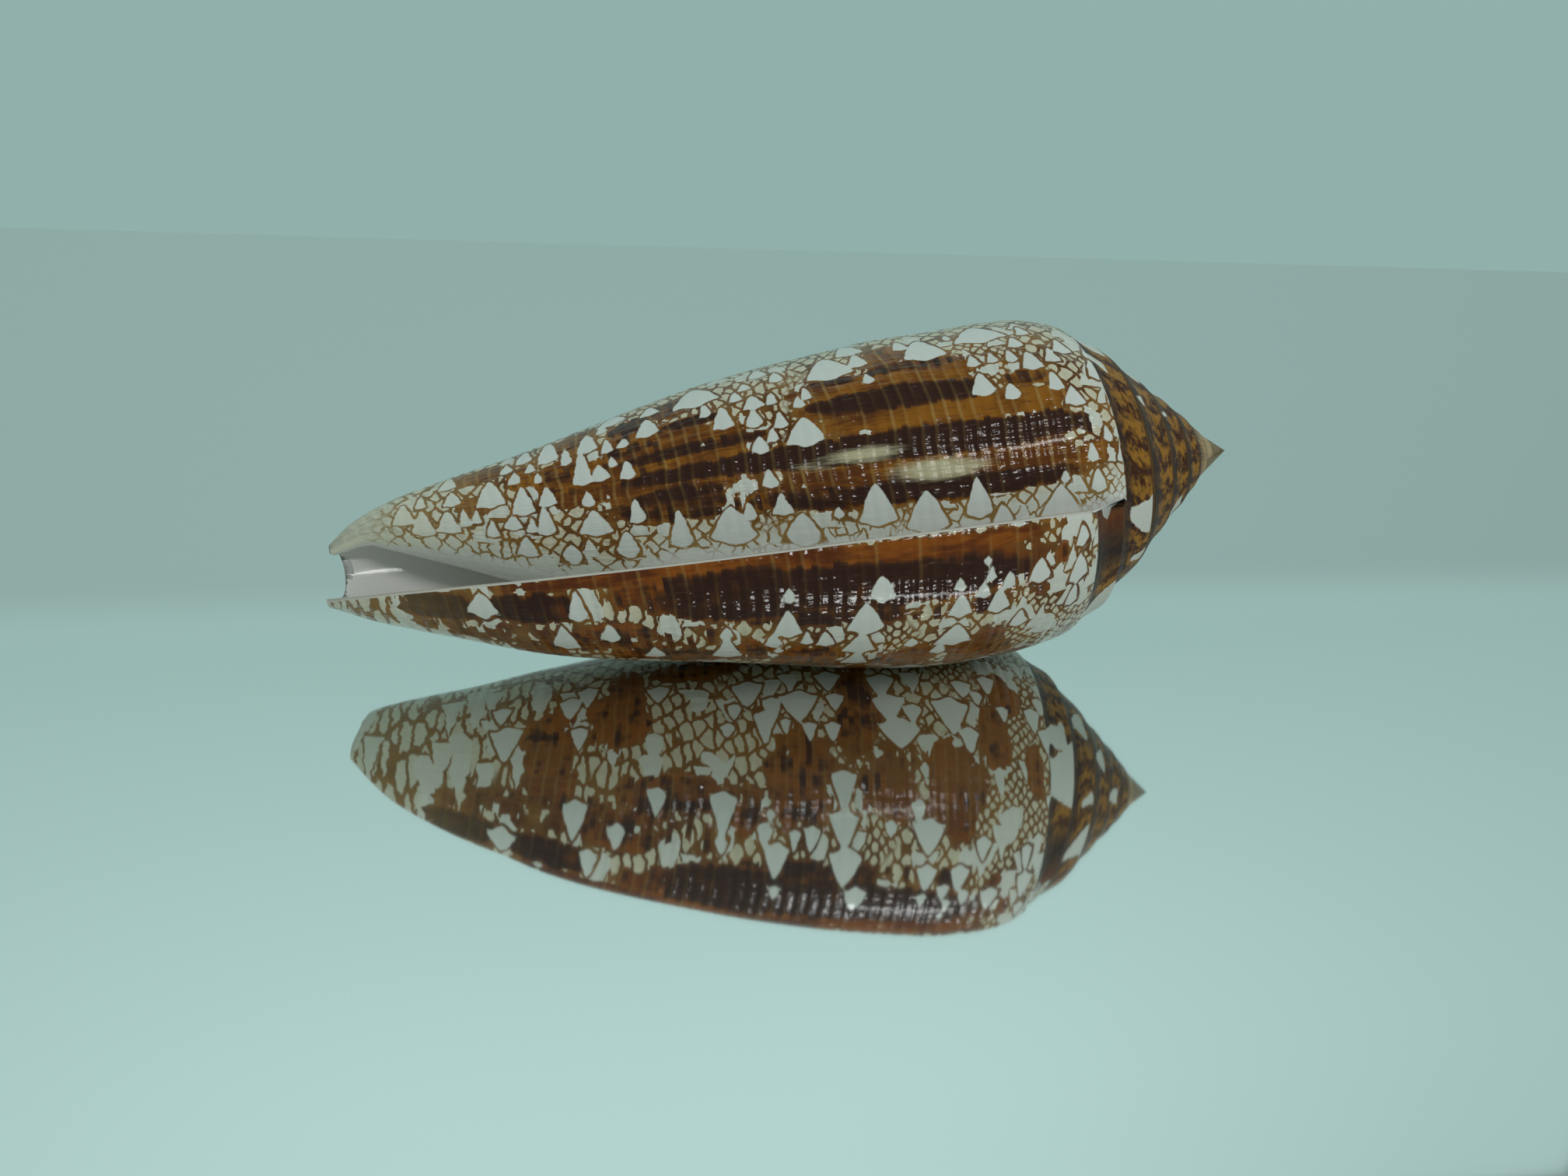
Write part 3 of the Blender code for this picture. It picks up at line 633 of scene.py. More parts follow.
def all_marks():
    """The marks of the visible side and seeded ones for the rest of the body."""
    source = np.random.default_rng(HIDDEN_MARKS_SEED)
    marks = list(WHITE_MARKS)
    for _ in range(HIDDEN_MARKS):
        u = source.uniform(20.0, 66.0)
        angle = source.uniform(168.0, 350.0)
        half = source.uniform(0.9, 2.1)
        height = half * source.uniform(1.7, 2.3)
        degrees = math.degrees(height / float(radius_at(np.array(u))))
        clear = True
        for other_u, point_angle, base_angle, other_half in marks:
            gap_angle = max(point_angle - angle - degrees, angle - base_angle)
            if abs(u - other_u) < half + other_half + 0.4 and gap_angle < 2.5:
                clear = False
        if clear:
            marks.append((u, angle, angle + degrees, half))
    return marks


def ramp_place(turns, share):
    """Distance along the spiral crest, and distance across the ramp, in millimetres."""
    steps = np.linspace(0.0, SPIRE_TURNS, 1201)
    pace = 2.0 * math.pi * radius_at(shoulder(steps))
    length = np.concatenate(([0.0], np.cumsum(0.5 * (pace[1:] + pace[:-1]) * np.diff(steps))))
    width = shoulder(turns) - shoulder(turns + 1.0)
    return np.interp(turns, steps, length), share * width * RAMP_SLOPE


def worn_fields(u, angle):
    """Where the surface is painted pale, partly as wear and partly as painted highlight of the glare on the
    gloss, between 0 and 1.
    """
    worn = np.zeros(len(u))
    for centre, direction, length, width, strength in WEAR_AND_GLARE_FIELDS:
        far = np.hypot((u - centre) / length, (angle - direction) / width)
        worn = np.maximum(worn, strength * np.clip(1.4 - far, 0.0, 1.0))
    return worn


def brown_fields(u, angle):
    """Amounts of ochre and chocolate, from the fields on the visible side and seeded ones."""
    source = np.random.default_rng(HIDDEN_FIELDS_SEED)
    fields = list(BROWN_FIELDS)
    for _ in range(HIDDEN_FIELDS):
        fields.append((source.uniform(22.0, 64.0), source.uniform(185.0, 345.0), source.uniform(2.0, 9.0),
                       source.uniform(3.0, 7.0), source.uniform(0.7, 1.0), source.uniform(0.1, 1.0)))
    ochre = np.zeros(len(u))
    dark = np.zeros(len(u))
    for centre, direction, length, width, amount, depth in fields:
        along = np.abs(u - centre) / length
        across = np.abs(angle - direction) / width
        far = (along ** 2.4 + across ** 2.4) ** (1.0 / 2.4)
        fade = np.clip((1.4 - far) / 0.75, 0.0, 1.0)
        fade = fade * fade * (3.0 - 2.0 * fade)
        ochre = np.maximum(ochre, amount * fade)
        dark = np.maximum(dark, depth * fade)
    return ochre, dark


def build_surface():
    """The whole shell as one fine closed mesh, with the values its markings are read from."""
    sheet = Sheet()
    body = build_body(sheet)
    sheet.quads(body)
    rows = build_ramps(sheet, body)
    build_cavity(sheet, body, rows)
    points = np.concatenate(sheet.points)
    values = {name: np.concatenate(blocks) for name, blocks in sheet.values.items()}

    mesh = bpy.data.meshes.new("shell_surface")
    mesh.from_pydata((points * MM).tolist(), [], sheet.faces)
    mesh.update()
    normals = point_normals(mesh)
    u = values["axial"]
    angle = np.degrees(values["sweep"])
    radius = np.maximum(radius_at(u), 0.4)
    outside = (values["inside"] < 0.01) & (values["rim"] < 0.5)
    on_ramp = values["ramp"] > 0.01
    glaze = (angle - smooth_table(GLAZE_EDGE, 1, u)) * np.radians(1.0) * radius
    glaze[on_ramp] = -9.0
    strength = np.where(outside, 1.0, 0.15) * np.clip(0.2 - glaze / 2.5, 0.06, 1.0)
    strength = np.where(on_ramp, 0.35, strength)
    strength *= np.clip((82.0 - u) / 14.0, 0.25, 1.0) * np.clip(u / 6.0, 0.0, 1.0)
    height = relief(u, angle, strength)
    height = np.where(on_ramp, height * 0.5, height)
    height *= np.where(values["inside"] > 0.2, 0.2, 1.0) * np.clip(u / 8.0, 0.0, 1.0)
    points = points + normals * height[:, None]
    low = FLOOR_CLEARANCE
    sink = points[:, 2]
    points[:, 2] = np.where(sink < low, low * np.exp(np.minimum(sink - low, 0.0) / low), sink)
    mesh.vertices.foreach_set("co", (points * MM).ravel())
    mesh.update()

    marks = mark_distance(u, angle, radius)
    marks = np.where(on_ramp, ramp_mark_distance(values["turn"], values["ramp"]), marks)
    marks[~outside] = NO_MARK
    # Pale patches: partly wear, partly painted highlight where the gloss glares.
    worn = worn_fields(u, angle)
    ochre, dark = brown_fields(u, angle)
    ramp_arc, ramp_across = ramp_place(values["turn"], values["ramp"])
    values.update(glaze=glaze, worn=worn, mark=marks, ochre=ochre, dark=dark,
                  ramp_arc=ramp_arc, ramp_across=ramp_across)
    for name, column in values.items():
        layer = mesh.attributes.new("shell_" + name, "FLOAT", "POINT")
        layer.data.foreach_set("value", column.astype(np.float32))
    mesh.polygons.foreach_set("use_smooth", np.ones(len(mesh.polygons), dtype=bool))
    mesh.update()
    return mesh


class Graph:
    """Short forms for adding linked nodes to a node tree."""

    def __init__(self, tree):
        self.tree = tree

    def node(self, kind, **settings):
        made = self.tree.nodes.new(kind)
        for name, value in settings.items():
            setattr(made, name, value)
        return made

    def put(self, socket, value):
        if isinstance(value, bpy.types.NodeSocket):
            self.tree.links.new(value, socket)
        elif value is not None:
            socket.default_value = value

    def math(self, operation, first, second=None, third=None):
        made = self.node("ShaderNodeMath", operation=operation)
        for socket, value in zip(made.inputs, (first, second, third)):
            self.put(socket, value)
        return made.outputs[0]

    def step(self, value, low, high):
        """A smooth rise from 0 at low to 1 at high."""
        made = self.node("ShaderNodeMapRange", interpolation_type="SMOOTHSTEP")
        for socket, entry in zip(made.inputs, (value, low, high, 0.0, 1.0)):
            self.put(socket, entry)
        return made.outputs[0]

    def mix(self, share, first, second):
        made = self.node("ShaderNodeMix", data_type="RGBA")
        for index, value in ((0, share), (6, first), (7, second)):
            self.put(made.inputs[index], value)
        return made.outputs[2]

    def blend(self, share, first, second):
        made = self.node("ShaderNodeMix", data_type="FLOAT")
        for index, value in ((0, share), (2, first), (3, second)):
            self.put(made.inputs[index], value)
        return made.outputs[0]

    def vector(self, x, y, z=0.0):
        made = self.node("ShaderNodeCombineXYZ")
        for socket, value in zip(made.inputs, (x, y, z)):
            self.put(socket, value)
        return made.outputs[0]

    def stretched(self, x, x_scale, y, y_scale, z=0.0):
        """A place for a texture, with its first two directions scaled."""
        return self.vector(self.math("MULTIPLY", x, x_scale), self.math("MULTIPLY", y, y_scale), z)

    def object_place(self):
        """The three parts of a point's place in its object."""
        parts = self.node("ShaderNodeSeparateXYZ")
        self.put(parts.inputs[0], self.node("ShaderNodeTexCoord").outputs["Object"])
        return parts.outputs

    def noise(self, vector, scale, detail=2.0, rough=0.5):
        made = self.node("ShaderNodeTexNoise")
        self.put(made.inputs["Vector"], vector)
        made.inputs["Scale"].default_value = scale
        made.inputs["Detail"].default_value = detail
        made.inputs["Roughness"].default_value = rough
        return made.outputs["Fac"]

    def group(self, tree, **values):
        made = self.node("ShaderNodeGroup", node_tree=tree)
        for name, value in values.items():
            self.put(made.inputs[name.replace("_", " ")], value)
        return made

    def attribute(self, name):
        return self.node("ShaderNodeAttribute", attribute_name=name).outputs["Fac"]


def new_material(name):
    """A material with its node graph and its main shader."""
    material = bpy.data.materials.new(name)
    material.use_nodes = True
    return material, Graph(material.node_tree), material.node_tree.nodes["Principled BSDF"]


def new_group(name, inputs, outputs):
    """An empty shader group with number or colour sockets; inputs carry their defaults."""
    tree = bpy.data.node_groups.new(name, "ShaderNodeTree")
    for label, default in inputs:
        kind = "NodeSocketColor" if isinstance(default, tuple) else "NodeSocketFloat"
        socket = tree.interface.new_socket(name=label, in_out="INPUT", socket_type=kind)
        socket.default_value = default
    for label, kind in outputs:
        tree.interface.new_socket(name=label, in_out="OUTPUT", socket_type=kind)
    graph = Graph(tree)
    source = graph.node("NodeGroupInput").outputs
    target = graph.node("NodeGroupOutput").inputs
    return graph, source, target


def cell_group():
    """A net of cells that point the way the shell grew: diamonds or rounded tents."""
    graph, source, target = new_group(
        "net_cells",
        (("Axial", 0.0), ("Sweep", 0.0), ("Size", 0.6), ("Seed", 0.0), ("Tents", 0.0)),
        (("Gap", "NodeSocketFloat"), ("Reach", "NodeSocketFloat"), ("Pick", "NodeSocketFloat")))
    axial, sweep, size, seed = source["Axial"], source["Sweep"], source["Size"], source["Seed"]
    m = graph.math
    home = m("FLOOR", m("DIVIDE", axial, size))
    first, second, pick = 9.0, 9.0, 0.0
    tall = m("MULTIPLY", size, 2.0)
    for side in (-1.0, 0.0, 1.0):
        column = m("ADD", home, side)
        centre = m("MULTIPLY", m("ADD", column, 0.5), size)
        past = m("POWER", m("MAXIMUM", m("SUBTRACT", centre, 26.0), 0.0), 1.8)
        radius = m("MAXIMUM", m("MULTIPLY_ADD", past, -0.0095, 14.75), 2.0)
        stretch = m("MULTIPLY_ADD", graph.step(centre, 54.0, 70.0), 0.5, 1.0)
        pitch = m("DIVIDE", m("MULTIPLY", tall, stretch), radius)
        stagger = m("MULTIPLY", m("PINGPONG", column, 1.0), 0.5)
        level = m("ADD", m("DIVIDE", sweep, pitch), stagger)
        base = m("FLOOR", level)
        for offset in (-1.0, 0.0, 1.0):
            row = m("ADD", base, offset)
            chance = graph.node("ShaderNodeTexWhiteNoise", noise_dimensions="3D")
            graph.put(chance.inputs["Vector"], graph.vector(column, row, seed))
            parts = graph.node("ShaderNodeSeparateColor")
            graph.put(parts.inputs[0], chance.outputs["Color"])
            shift = m("MULTIPLY", m("SUBTRACT", parts.outputs[0], 0.5), 0.75)
            across = m("ABSOLUTE", m("SUBTRACT", axial, m("MULTIPLY_ADD", shift, size, centre)))
            rise = m("MULTIPLY_ADD", parts.outputs[1], 0.40, 0.30)
            along = m("MULTIPLY", m("SUBTRACT", m("SUBTRACT", level, row), rise), tall)
            diamond = m("MULTIPLY_ADD", m("ABSOLUTE", along), 0.62, m("MULTIPLY", across, 0.85))
            diamond = m("MULTIPLY_ADD", along, 0.14, diamond)
            long_way = m("SQRT", m("MULTIPLY_ADD", along, along, m("MULTIPLY_ADD", across, across, 0.0001)))
            net = m("MULTIPLY_ADD", long_way, 0.30, m("MULTIPLY", diamond, 0.75))
            sides = m("MULTIPLY_ADD", along, -0.46, m("MULTIPLY", across, 0.95))
            tent = m("SMOOTH_MAX", sides, m("MULTIPLY", along, 0.9), 0.12)
            form = graph.blend(source["Tents"], net, tent)
            far = m("MULTIPLY_ADD", parts.outputs[2], m("MULTIPLY", size, -0.22), form)
            second = m("MINIMUM", second, m("MAXIMUM", first, far))
            closer = m("LESS_THAN", far, first)
            first = m("MINIMUM", first, far)
            pick = graph.blend(closer, pick, parts.outputs[2])
    graph.put(target["Gap"], m("SUBTRACT", second, first))
    graph.put(target["Reach"], first)
    graph.put(target["Pick"], pick)
    return graph.tree


def streak_group():
    """Soft dark streaks that run along the shell, between 0 and 1."""
    graph, source, target = new_group(
        "length_streaks", (("Axial", 0.0), ("Arc", 0.0), ("Seed", 0.0)),
        (("Streak", "NodeSocketFloat"), ("Fine", "NodeSocketFloat")))
    m = graph.math
    place_long = graph.vector(m("MULTIPLY", source["Axial"], 0.16), source["Arc"], source["Seed"])
    place_fine = graph.stretched(source["Axial"], 0.5, source["Arc"], 5.0, source["Seed"])
    graph.put(target["Streak"], graph.noise(place_long, 0.75, 3.0, 0.55))
    graph.put(target["Fine"], graph.noise(place_fine, 1.0, 2.0, 0.6))
    return graph.tree


def thread_group():
    """Thin spiral threads: a line every millimetre or so along the shell."""
    graph, source, target = new_group(
        "spiral_threads", (("Axial", 0.0), ("Arc", 0.0)),
        (("Line", "NodeSocketFloat"), ("Ridge", "NodeSocketFloat"), ("Comb", "NodeSocketFloat")))
    m = graph.math
    bend = graph.noise(graph.vector(m("MULTIPLY", source["Axial"], 0.12), source["Arc"], 7.0), 0.16, 2.0)
    lean = m("MULTIPLY", source["Arc"], 0.045)
    moved = m("DIVIDE", m("ADD", m("MULTIPLY_ADD", bend, 1.6, source["Axial"]), lean), THREAD_PITCH)
    part = m("ABSOLUTE", m("SUBTRACT", m("FRACT", moved), 0.5))
    spot = graph.stretched(m("FLOOR", moved), 3.7, source["Arc"], 0.16, 3.0)
    line = m("MULTIPLY", graph.step(part, 0.20, 0.03), graph.step(graph.noise(spot, 1.0, 2.0), 0.36, 0.62))
    graph.put(target["Line"], line)
    graph.put(target["Ridge"], graph.step(part, 0.5, 0.1))
    tooth = graph.stretched(m("FLOOR", m("MULTIPLY", moved, 2.0)), 2.3, source["Arc"], 0.5, 5.0)
    graph.put(target["Comb"], graph.noise(tooth, 1.0, 2.0))
    return graph.tree


def shell_material(settings):
    """Glossy shell: white under a net of brown lines, with ochre and dark fields."""
    material, graph, surface = new_material("shell_glaze_looks")
    m = graph.math
    axial, sweep, ramp, turn, inside, rim, mark = (graph.attribute("shell_" + name) for name in (
        "axial", "sweep", "ramp", "turn", "inside", "rim", "mark"))
    ochre, dark, worn, glaze_at, ramp_arc, ramp_across = (graph.attribute("shell_" + name) for name in (
        "ochre", "dark", "worn", "glaze", "ramp_arc", "ramp_across"))
    arc = m("MULTIPLY", sweep, MARKING_RADIUS)

    flat = graph.vector(axial, arc, 0.0)
    wobble = m("SUBTRACT", graph.noise(flat, 0.9, 3.0), 0.5)
    sway = m("SUBTRACT", graph.noise(graph.vector(arc, axial, 4.0), 0.9, 3.0), 0.5)
    moved_axial = m("MULTIPLY_ADD", wobble, 0.7, axial)
    moved_sweep = m("MULTIPLY_ADD", sway, 0.05, sweep)
    net = cell_group()
    fine = graph.group(net, Axial=moved_axial, Sweep=moved_sweep, Size=0.50, Seed=5.0)
    middle = graph.group(net, Axial=moved_axial, Sweep=moved_sweep, Size=0.88, Seed=2.0)
    tents = graph.group(net, Axial=moved_axial, Sweep=moved_sweep, Size=1.25, Seed=8.0, Tents=1.0)
    streaks = graph.group(streak_group(), Axial=axial, Arc=arc, Seed=1.0)
    threads = graph.group(thread_group(), Axial=axial, Arc=arc)

    # The net: fine or middling cells, with mid-sized tents strewn over it.
    teeth = m("SUBTRACT", threads.outputs["Comb"], 0.5)
    patchy = m("SUBTRACT", graph.noise(graph.vector(axial, arc, 12.0), 0.38, 2.0), 0.5)
    field = m("MULTIPLY_ADD", patchy, m("MULTIPLY", graph.step(ochre, 0.0, 0.2), 1.3), ochre)
    brown = graph.step(m("MULTIPLY_ADD", teeth, 1.2, m("MULTIPLY_ADD", wobble, 0.5, field)), 0.24, 0.62)
    by_slit = graph.step(glaze_at, -3.4, -0.4)
    thick = m("MULTIPLY_ADD", graph.noise(flat, 0.45, 1.0), 0.15, m("MULTIPLY_ADD", by_slit, -0.085, 0.13))
    shrink = m("MULTIPLY", brown, 1.6)
    fine_gap = m("SUBTRACT", fine.outputs["Gap"], m("ADD", thick, shrink))
    fine_cap = m("SUBTRACT", 0.44, m("ADD", fine.outputs["Reach"], shrink))
    fine_white = graph.step(m("SMOOTH_MIN", fine_gap, fine_cap, 0.06), -0.02, 0.07)
    middle_gap = m("SUBTRACT", middle.outputs["Gap"], m("ADD", m("MULTIPLY", thick, 1.2), shrink))
    middle_cap = m("SUBTRACT", 1.05, m("ADD", middle.outputs["Reach"], shrink))
    middle_white = graph.step(m("SMOOTH_MIN", middle_gap, middle_cap, 0.10), -0.02, 0.08)
    by_shoulder = m("MULTIPLY", graph.step(axial, 30.0, 22.0), graph.step(sweep, 2.3, 1.9))
    by_front = m("MULTIPLY", graph.step(axial, 40.0, 48.0), 0.2)
    zone = m("MULTIPLY_ADD", by_shoulder, -0.2, m("ADD", by_front, graph.noise(flat, 0.11, 2.0)))
    zone = graph.step(zone, 0.45, 0.51)
    white = graph.blend(zone, fine_white, middle_white)
    size = m("MULTIPLY_ADD", graph.step(tents.outputs["Pick"], 0.60, 1.0), 0.80, 0.06)
    size = m("SUBTRACT", size, brown)
    tent_edge = m("SUBTRACT", tents.outputs["Reach"], size)
    chosen = m("GREATER_THAN", tents.outputs["Pick"], 0.74)
    ring = m("MULTIPLY", chosen, graph.step(tent_edge, 0.20, 0.12))
    white = m("MULTIPLY", white, m("SUBTRACT", 1.0, ring))
    small_tent = m("MULTIPLY", chosen, graph.step(tent_edge, 0.02, -0.05))
    white = m("MAXIMUM", white, small_tent)
    ring = graph.step(m("MULTIPLY_ADD", sway, 0.25, mark), 0.27, 0.17)
    white = m("MULTIPLY", white, m("SUBTRACT", 1.0, ring))
    white_mark = graph.step(m("MULTIPLY_ADD", wobble, 0.45, mark), 0.06, -0.05)
    white = m("MAXIMUM", white, white_mark)

    # Colours of the brown parts: net lines, ochre, and chocolate streaks along the shell.
    tone = graph.step(graph.noise(flat, 0.30, 2.0), 0.32, 0.68)
    line_brown = graph.mix(tone, LINE_BROWN[0], settings.line_brown)
    golden = m("MULTIPLY_ADD", streaks.outputs["Fine"], 0.5, streaks.outputs["Streak"])
    golden = graph.step(m("MULTIPLY_ADD", patchy, 0.5, golden), 0.60, 0.92)
    ochre_brown = graph.mix(golden, OCHRE[0], settings.ochre)
    chocolate = graph.mix(streaks.outputs["Fine"], CHOCOLATE[0], settings.chocolate)
    newer = graph.step(sweep, 4.4, 3.4)
    rusty = graph.mix(golden, *RUST)
    ochre_brown = graph.mix(m("MULTIPLY", newer, 0.85), ochre_brown, rusty)
    below = m("MULTIPLY", newer, graph.step(sweep, 1.7, 2.2))
    line_brown = graph.mix(m("MULTIPLY", below, 0.5), line_brown, BELOW_LINE)
    ochre_brown = graph.mix(m("MULTIPLY", below, 0.5), ochre_brown, BELOW_OCHRE)
    deep = m("MULTIPLY_ADD", m("SUBTRACT", streaks.outputs["Streak"], 0.5), 1.1, dark)
    deep = m("MULTIPLY_ADD", teeth, 1.4, m("MULTIPLY_ADD", wobble, 0.55, deep))
    deep = m("MULTIPLY", graph.step(deep, 0.24, 0.94), brown)
    pale_share = m("MULTIPLY", brown, m("MULTIPLY_ADD", deep, -0.44, 0.58))
    pale_thread = m("MULTIPLY", threads.outputs["Line"], pale_share)
    pale_thread = m("MULTIPLY", pale_thread, m("MULTIPLY_ADD", newer, -0.45, 1.0))
    brown_colour = graph.mix(brown, line_brown, ochre_brown)
    brown_colour = graph.mix(graph.step(deep, 0.0, 0.55), brown_colour, DARK_OCHRE)
    brown_colour = graph.mix(graph.step(deep, 0.35, 1.0), brown_colour, chocolate)
    brown_colour = graph.mix(pale_thread, brown_colour, THREAD_PALE)

    # Front end: the lines thin out to tan on cream.
    older = graph.step(sweep, 4.2, 5.6)
    by_end = graph.step(m("MULTIPLY_ADD", wobble, 7.0, axial), 62.0, 77.0)
    front = m("MULTIPLY", by_end, m("MULTIPLY_ADD", older, 0.6, 0.4))
    brown_colour = graph.mix(m("MULTIPLY", front, 0.80), brown_colour, FRONT_TAN)
    bare = m("MULTIPLY", graph.step(m("MULTIPLY_ADD", wobble, 5.0, axial), 73.0, 77.0), older)
    white = m("MAXIMUM", white, bare)
    clean = graph.mix(graph.noise(flat, 0.25, 3.0), settings.white, CLEAN_WHITE[1])
    small_white = graph.mix(graph.noise(flat, 1.6, 2.0), NET_WHITE[0], settings.cream)
    small_white = graph.mix(m("MULTIPLY", m("MAXIMUM", small_tent, by_slit), 0.75), small_white, clean)
    cream = graph.mix(m("MAXIMUM", white_mark, m("MULTIPLY", front, 0.8)), small_white, clean)
    cream = graph.mix(m("MULTIPLY", front, 0.7), cream, FRONT_CREAM)
    near_slit = m("MULTIPLY", by_slit, m("SUBTRACT", 1.0, brown))
    brown_colour = graph.mix(m("MULTIPLY", near_slit, 0.50), brown_colour, SLIT_TAN)
    body = graph.mix(white, brown_colour, cream)
    # Pale patches, partly wear and partly painted highlight of the glare on the gloss.
    scuff_and_glare = graph.step(m("MULTIPLY_ADD", streaks.outputs["Fine"], 0.9, m("MULTIPLY", worn, 1.3)), 0.55, 1.35)
    body = graph.mix(scuff_and_glare, body, WEAR_AND_GLARE_CREAM)

    # Ramps of the spire: ochre blocks between dark bars, a dark band at the crest, white marks.
    ramp_flat = graph.vector(ramp_across, ramp_arc, 6.0)
    cloud = graph.noise(ramp_flat, 0.55, 3.0)
    spots = graph.noise(ramp_flat, 1.5, 3.0, 0.6)
    chevron = m("MULTIPLY_ADD", m("ABSOLUTE", m("SUBTRACT", ramp, 0.62)), 1.6, ramp_arc)
    bars = m("SINE", m("MULTIPLY", m("MULTIPLY_ADD", cloud, 3.4, chevron), 2.3))
    barred = m("ADD", m("MULTIPLY", bars, 0.36), m("MULTIPLY_ADD", spots, 3.0, -1.5))
    ramp_brown = graph.mix(graph.step(barred, -0.50, 0.45), *RAMP_BROWN)
    edge_dark = m("MULTIPLY_ADD", spots, 0.5, m("SUBTRACT", 0.42, ramp))
    ramp_brown = graph.mix(m("MULTIPLY", graph.step(edge_dark, 0.2, 0.55), 0.85), ramp_brown, RAMP_CREST)
    newest = graph.step(turn, 0.09, 0.05)
    by_lip = graph.mix(graph.step(turn, 0.012, 0.035), *RAMP_BY_LIP)
    ramp_brown = graph.mix(m("MULTIPLY", newest, 0.9), ramp_brown, by_lip)
    ramp_white = graph.step(m("MULTIPLY_ADD", m("SUBTRACT", cloud, 0.5), 1.4, mark), 0.08, -0.10)
    ramp_colour = graph.mix(ramp_white, ramp_brown, RAMP_WHITE)
    apex = graph.step(m("MULTIPLY_ADD", wobble, 1.5, axial), 4.4, 2.4)
    ramp_colour = graph.mix(apex, ramp_colour, APEX_TAN)
    outside = graph.mix(graph.step(ramp, 0.0, 0.06), body, ramp_colour)

    # White glaze beside the slit, with faint lines left in it, and the white inside.
    past_slit = m("MULTIPLY_ADD", wobble, 2.2, m("MULTIPLY_ADD", sway, 1.6, glaze_at))
    glaze = graph.step(past_slit, -0.15, 0.30)
    left_over = graph.step(glaze_at, 1.6, 0.2)
    veil = m("SUBTRACT", 1.0, m("MULTIPLY", left_over, m("MULTIPLY", m("SUBTRACT", 1.0, white), 0.35)))
    outside = graph.mix(m("MULTIPLY", glaze, veil), outside, settings.glaze_white)
    within = m("MAXIMUM", graph.step(inside, 0.0, 0.08), rim)
    lining = graph.mix(graph.noise(flat, 0.2, 2.0), settings.lining_white, LINING_WHITE[1])
    lining = graph.mix(m("MULTIPLY", rim, 0.6), lining, LIP_EDGE_TAN)
    graph.put(surface.inputs["Base Color"], graph.mix(within, outside, lining))

    # Gloss with faint variation; growth lines crossing spiral threads as beads.
    growth = graph.noise(graph.stretched(axial, 0.22, arc, 1.7), 1.0)
    bead = graph.noise(graph.stretched(axial, 1.5, arc, 2.0, 9.0), 1.0)
    plain = m("MAXIMUM", within, m("MULTIPLY", m("MAXIMUM", glaze, white_mark), 0.7))
    plain = m("MAXIMUM", plain, m("MULTIPLY", by_slit, 0.75))
    smooth = m("SUBTRACT", 1.0, plain)
    beaded = m("MULTIPLY_ADD", bead, 1.5, 0.1)
    raised = m("MULTIPLY_ADD", threads.outputs["Ridge"], beaded, m("MULTIPLY", growth, 2.6))
    bump = graph.node("ShaderNodeBump")
    graph.put(bump.inputs["Strength"], m("MULTIPLY_ADD", smooth, 0.85, 0.08))
    bump.inputs["Distance"].default_value = 0.00007
    graph.put(bump.inputs["Height"], raised)
    graph.put(surface.inputs["Normal"], bump.outputs[0])
    grain = m("MULTIPLY_ADD", growth, 0.12, 0.10)
    spire = graph.step(ramp, 0.02, 0.08)
    grain = m("MULTIPLY_ADD", spire, 0.34, m("MULTIPLY_ADD", worn, 0.2, grain))
    graph.put(surface.inputs["Roughness"], grain)
    graph.put(surface.inputs["Specular IOR Level"], m("MULTIPLY_ADD", spire, -0.28, 0.5))
    surface.inputs["IOR"].default_value = 1.38
    surface.inputs["Coat Weight"].default_value = settings.gloss
    surface.inputs["Coat Roughness"].default_value = 0.05
    return material


def floor_material(colour):
    """A pale mirror-bright sheet; soft light that it throws back is pale and even."""
    material, graph, mirror = new_material("pale_floor")
    mirror.inputs["Base Color"].default_value = colour
    mirror.inputs["Metallic"].default_value = 1.0
    matte = graph.step(graph.object_place()[1], MATTE_START, MATTE_START + MATTE_FADE)
    graph.put(mirror.inputs["Roughness"], graph.math("MULTIPLY_ADD", matte, 0.55, 0.05))
    soft = graph.node("ShaderNodeBsdfDiffuse")
    soft.inputs["Color"].default_value = FLOOR_SOFT
    path = graph.node("ShaderNodeLightPath")
    choice = graph.node("ShaderNodeMixShader")
    share = graph.math("MAXIMUM", path.outputs["Is Diffuse Ray"], 0.02)
    graph.put(choice.inputs[0], share)
    graph.put(choice.inputs[1], mirror.outputs[0])
    graph.put(choice.inputs[2], soft.outputs[0])
    graph.put(material.node_tree.nodes["Material Output"].inputs[0], choice.outputs[0])
    return material


def backdrop_material(colour):
    """A pale sheet behind the shell that glows softly, a little brighter higher up."""
    material, graph, surface = new_material("pale_backdrop")
    surface.inputs["Base Color"].default_value = (0.02, 0.02, 0.02, 1.0)
    surface.inputs["Roughness"].default_value = 1.0
    surface.inputs["Specular IOR Level"].default_value = 0.0
    place_at = graph.object_place()
    height = graph.step(place_at[2], 0.0, 2.4)
    aside = graph.step(graph.math("ABSOLUTE", place_at[0]), 0.4, 3.0)
    glow = graph.mix(height, colour, BACKDROP_GLOW[1])
    glow = graph.mix(graph.math("MULTIPLY", aside, 0.45), glow, BACKDROP_SIDES)
    graph.put(surface.inputs["Emission Color"], glow)
    surface.inputs["Emission Strength"].default_value = 1.0
    return material


def add_sheet(name, profile, half, materials):
    """A wide sheet through a profile of depths and heights; its first face is level."""
    mesh = bpy.data.meshes.new(name)
    points = [(side * half, y, z) for y, z in profile for side in (-1.0, 1.0)]
    faces = [(2 * k, 2 * k + 1, 2 * k + 3, 2 * k + 2) for k in range(len(profile) - 1)]
    mesh.from_pydata(points, [], faces)
    for material in materials:
        mesh.materials.append(material)
    for face in mesh.polygons[1:]:
        face.material_index = 1
        face.use_smooth = True
    sheet = bpy.data.objects.new(name, mesh)
    bpy.context.scene.collection.objects.link(sheet)
    return sheet


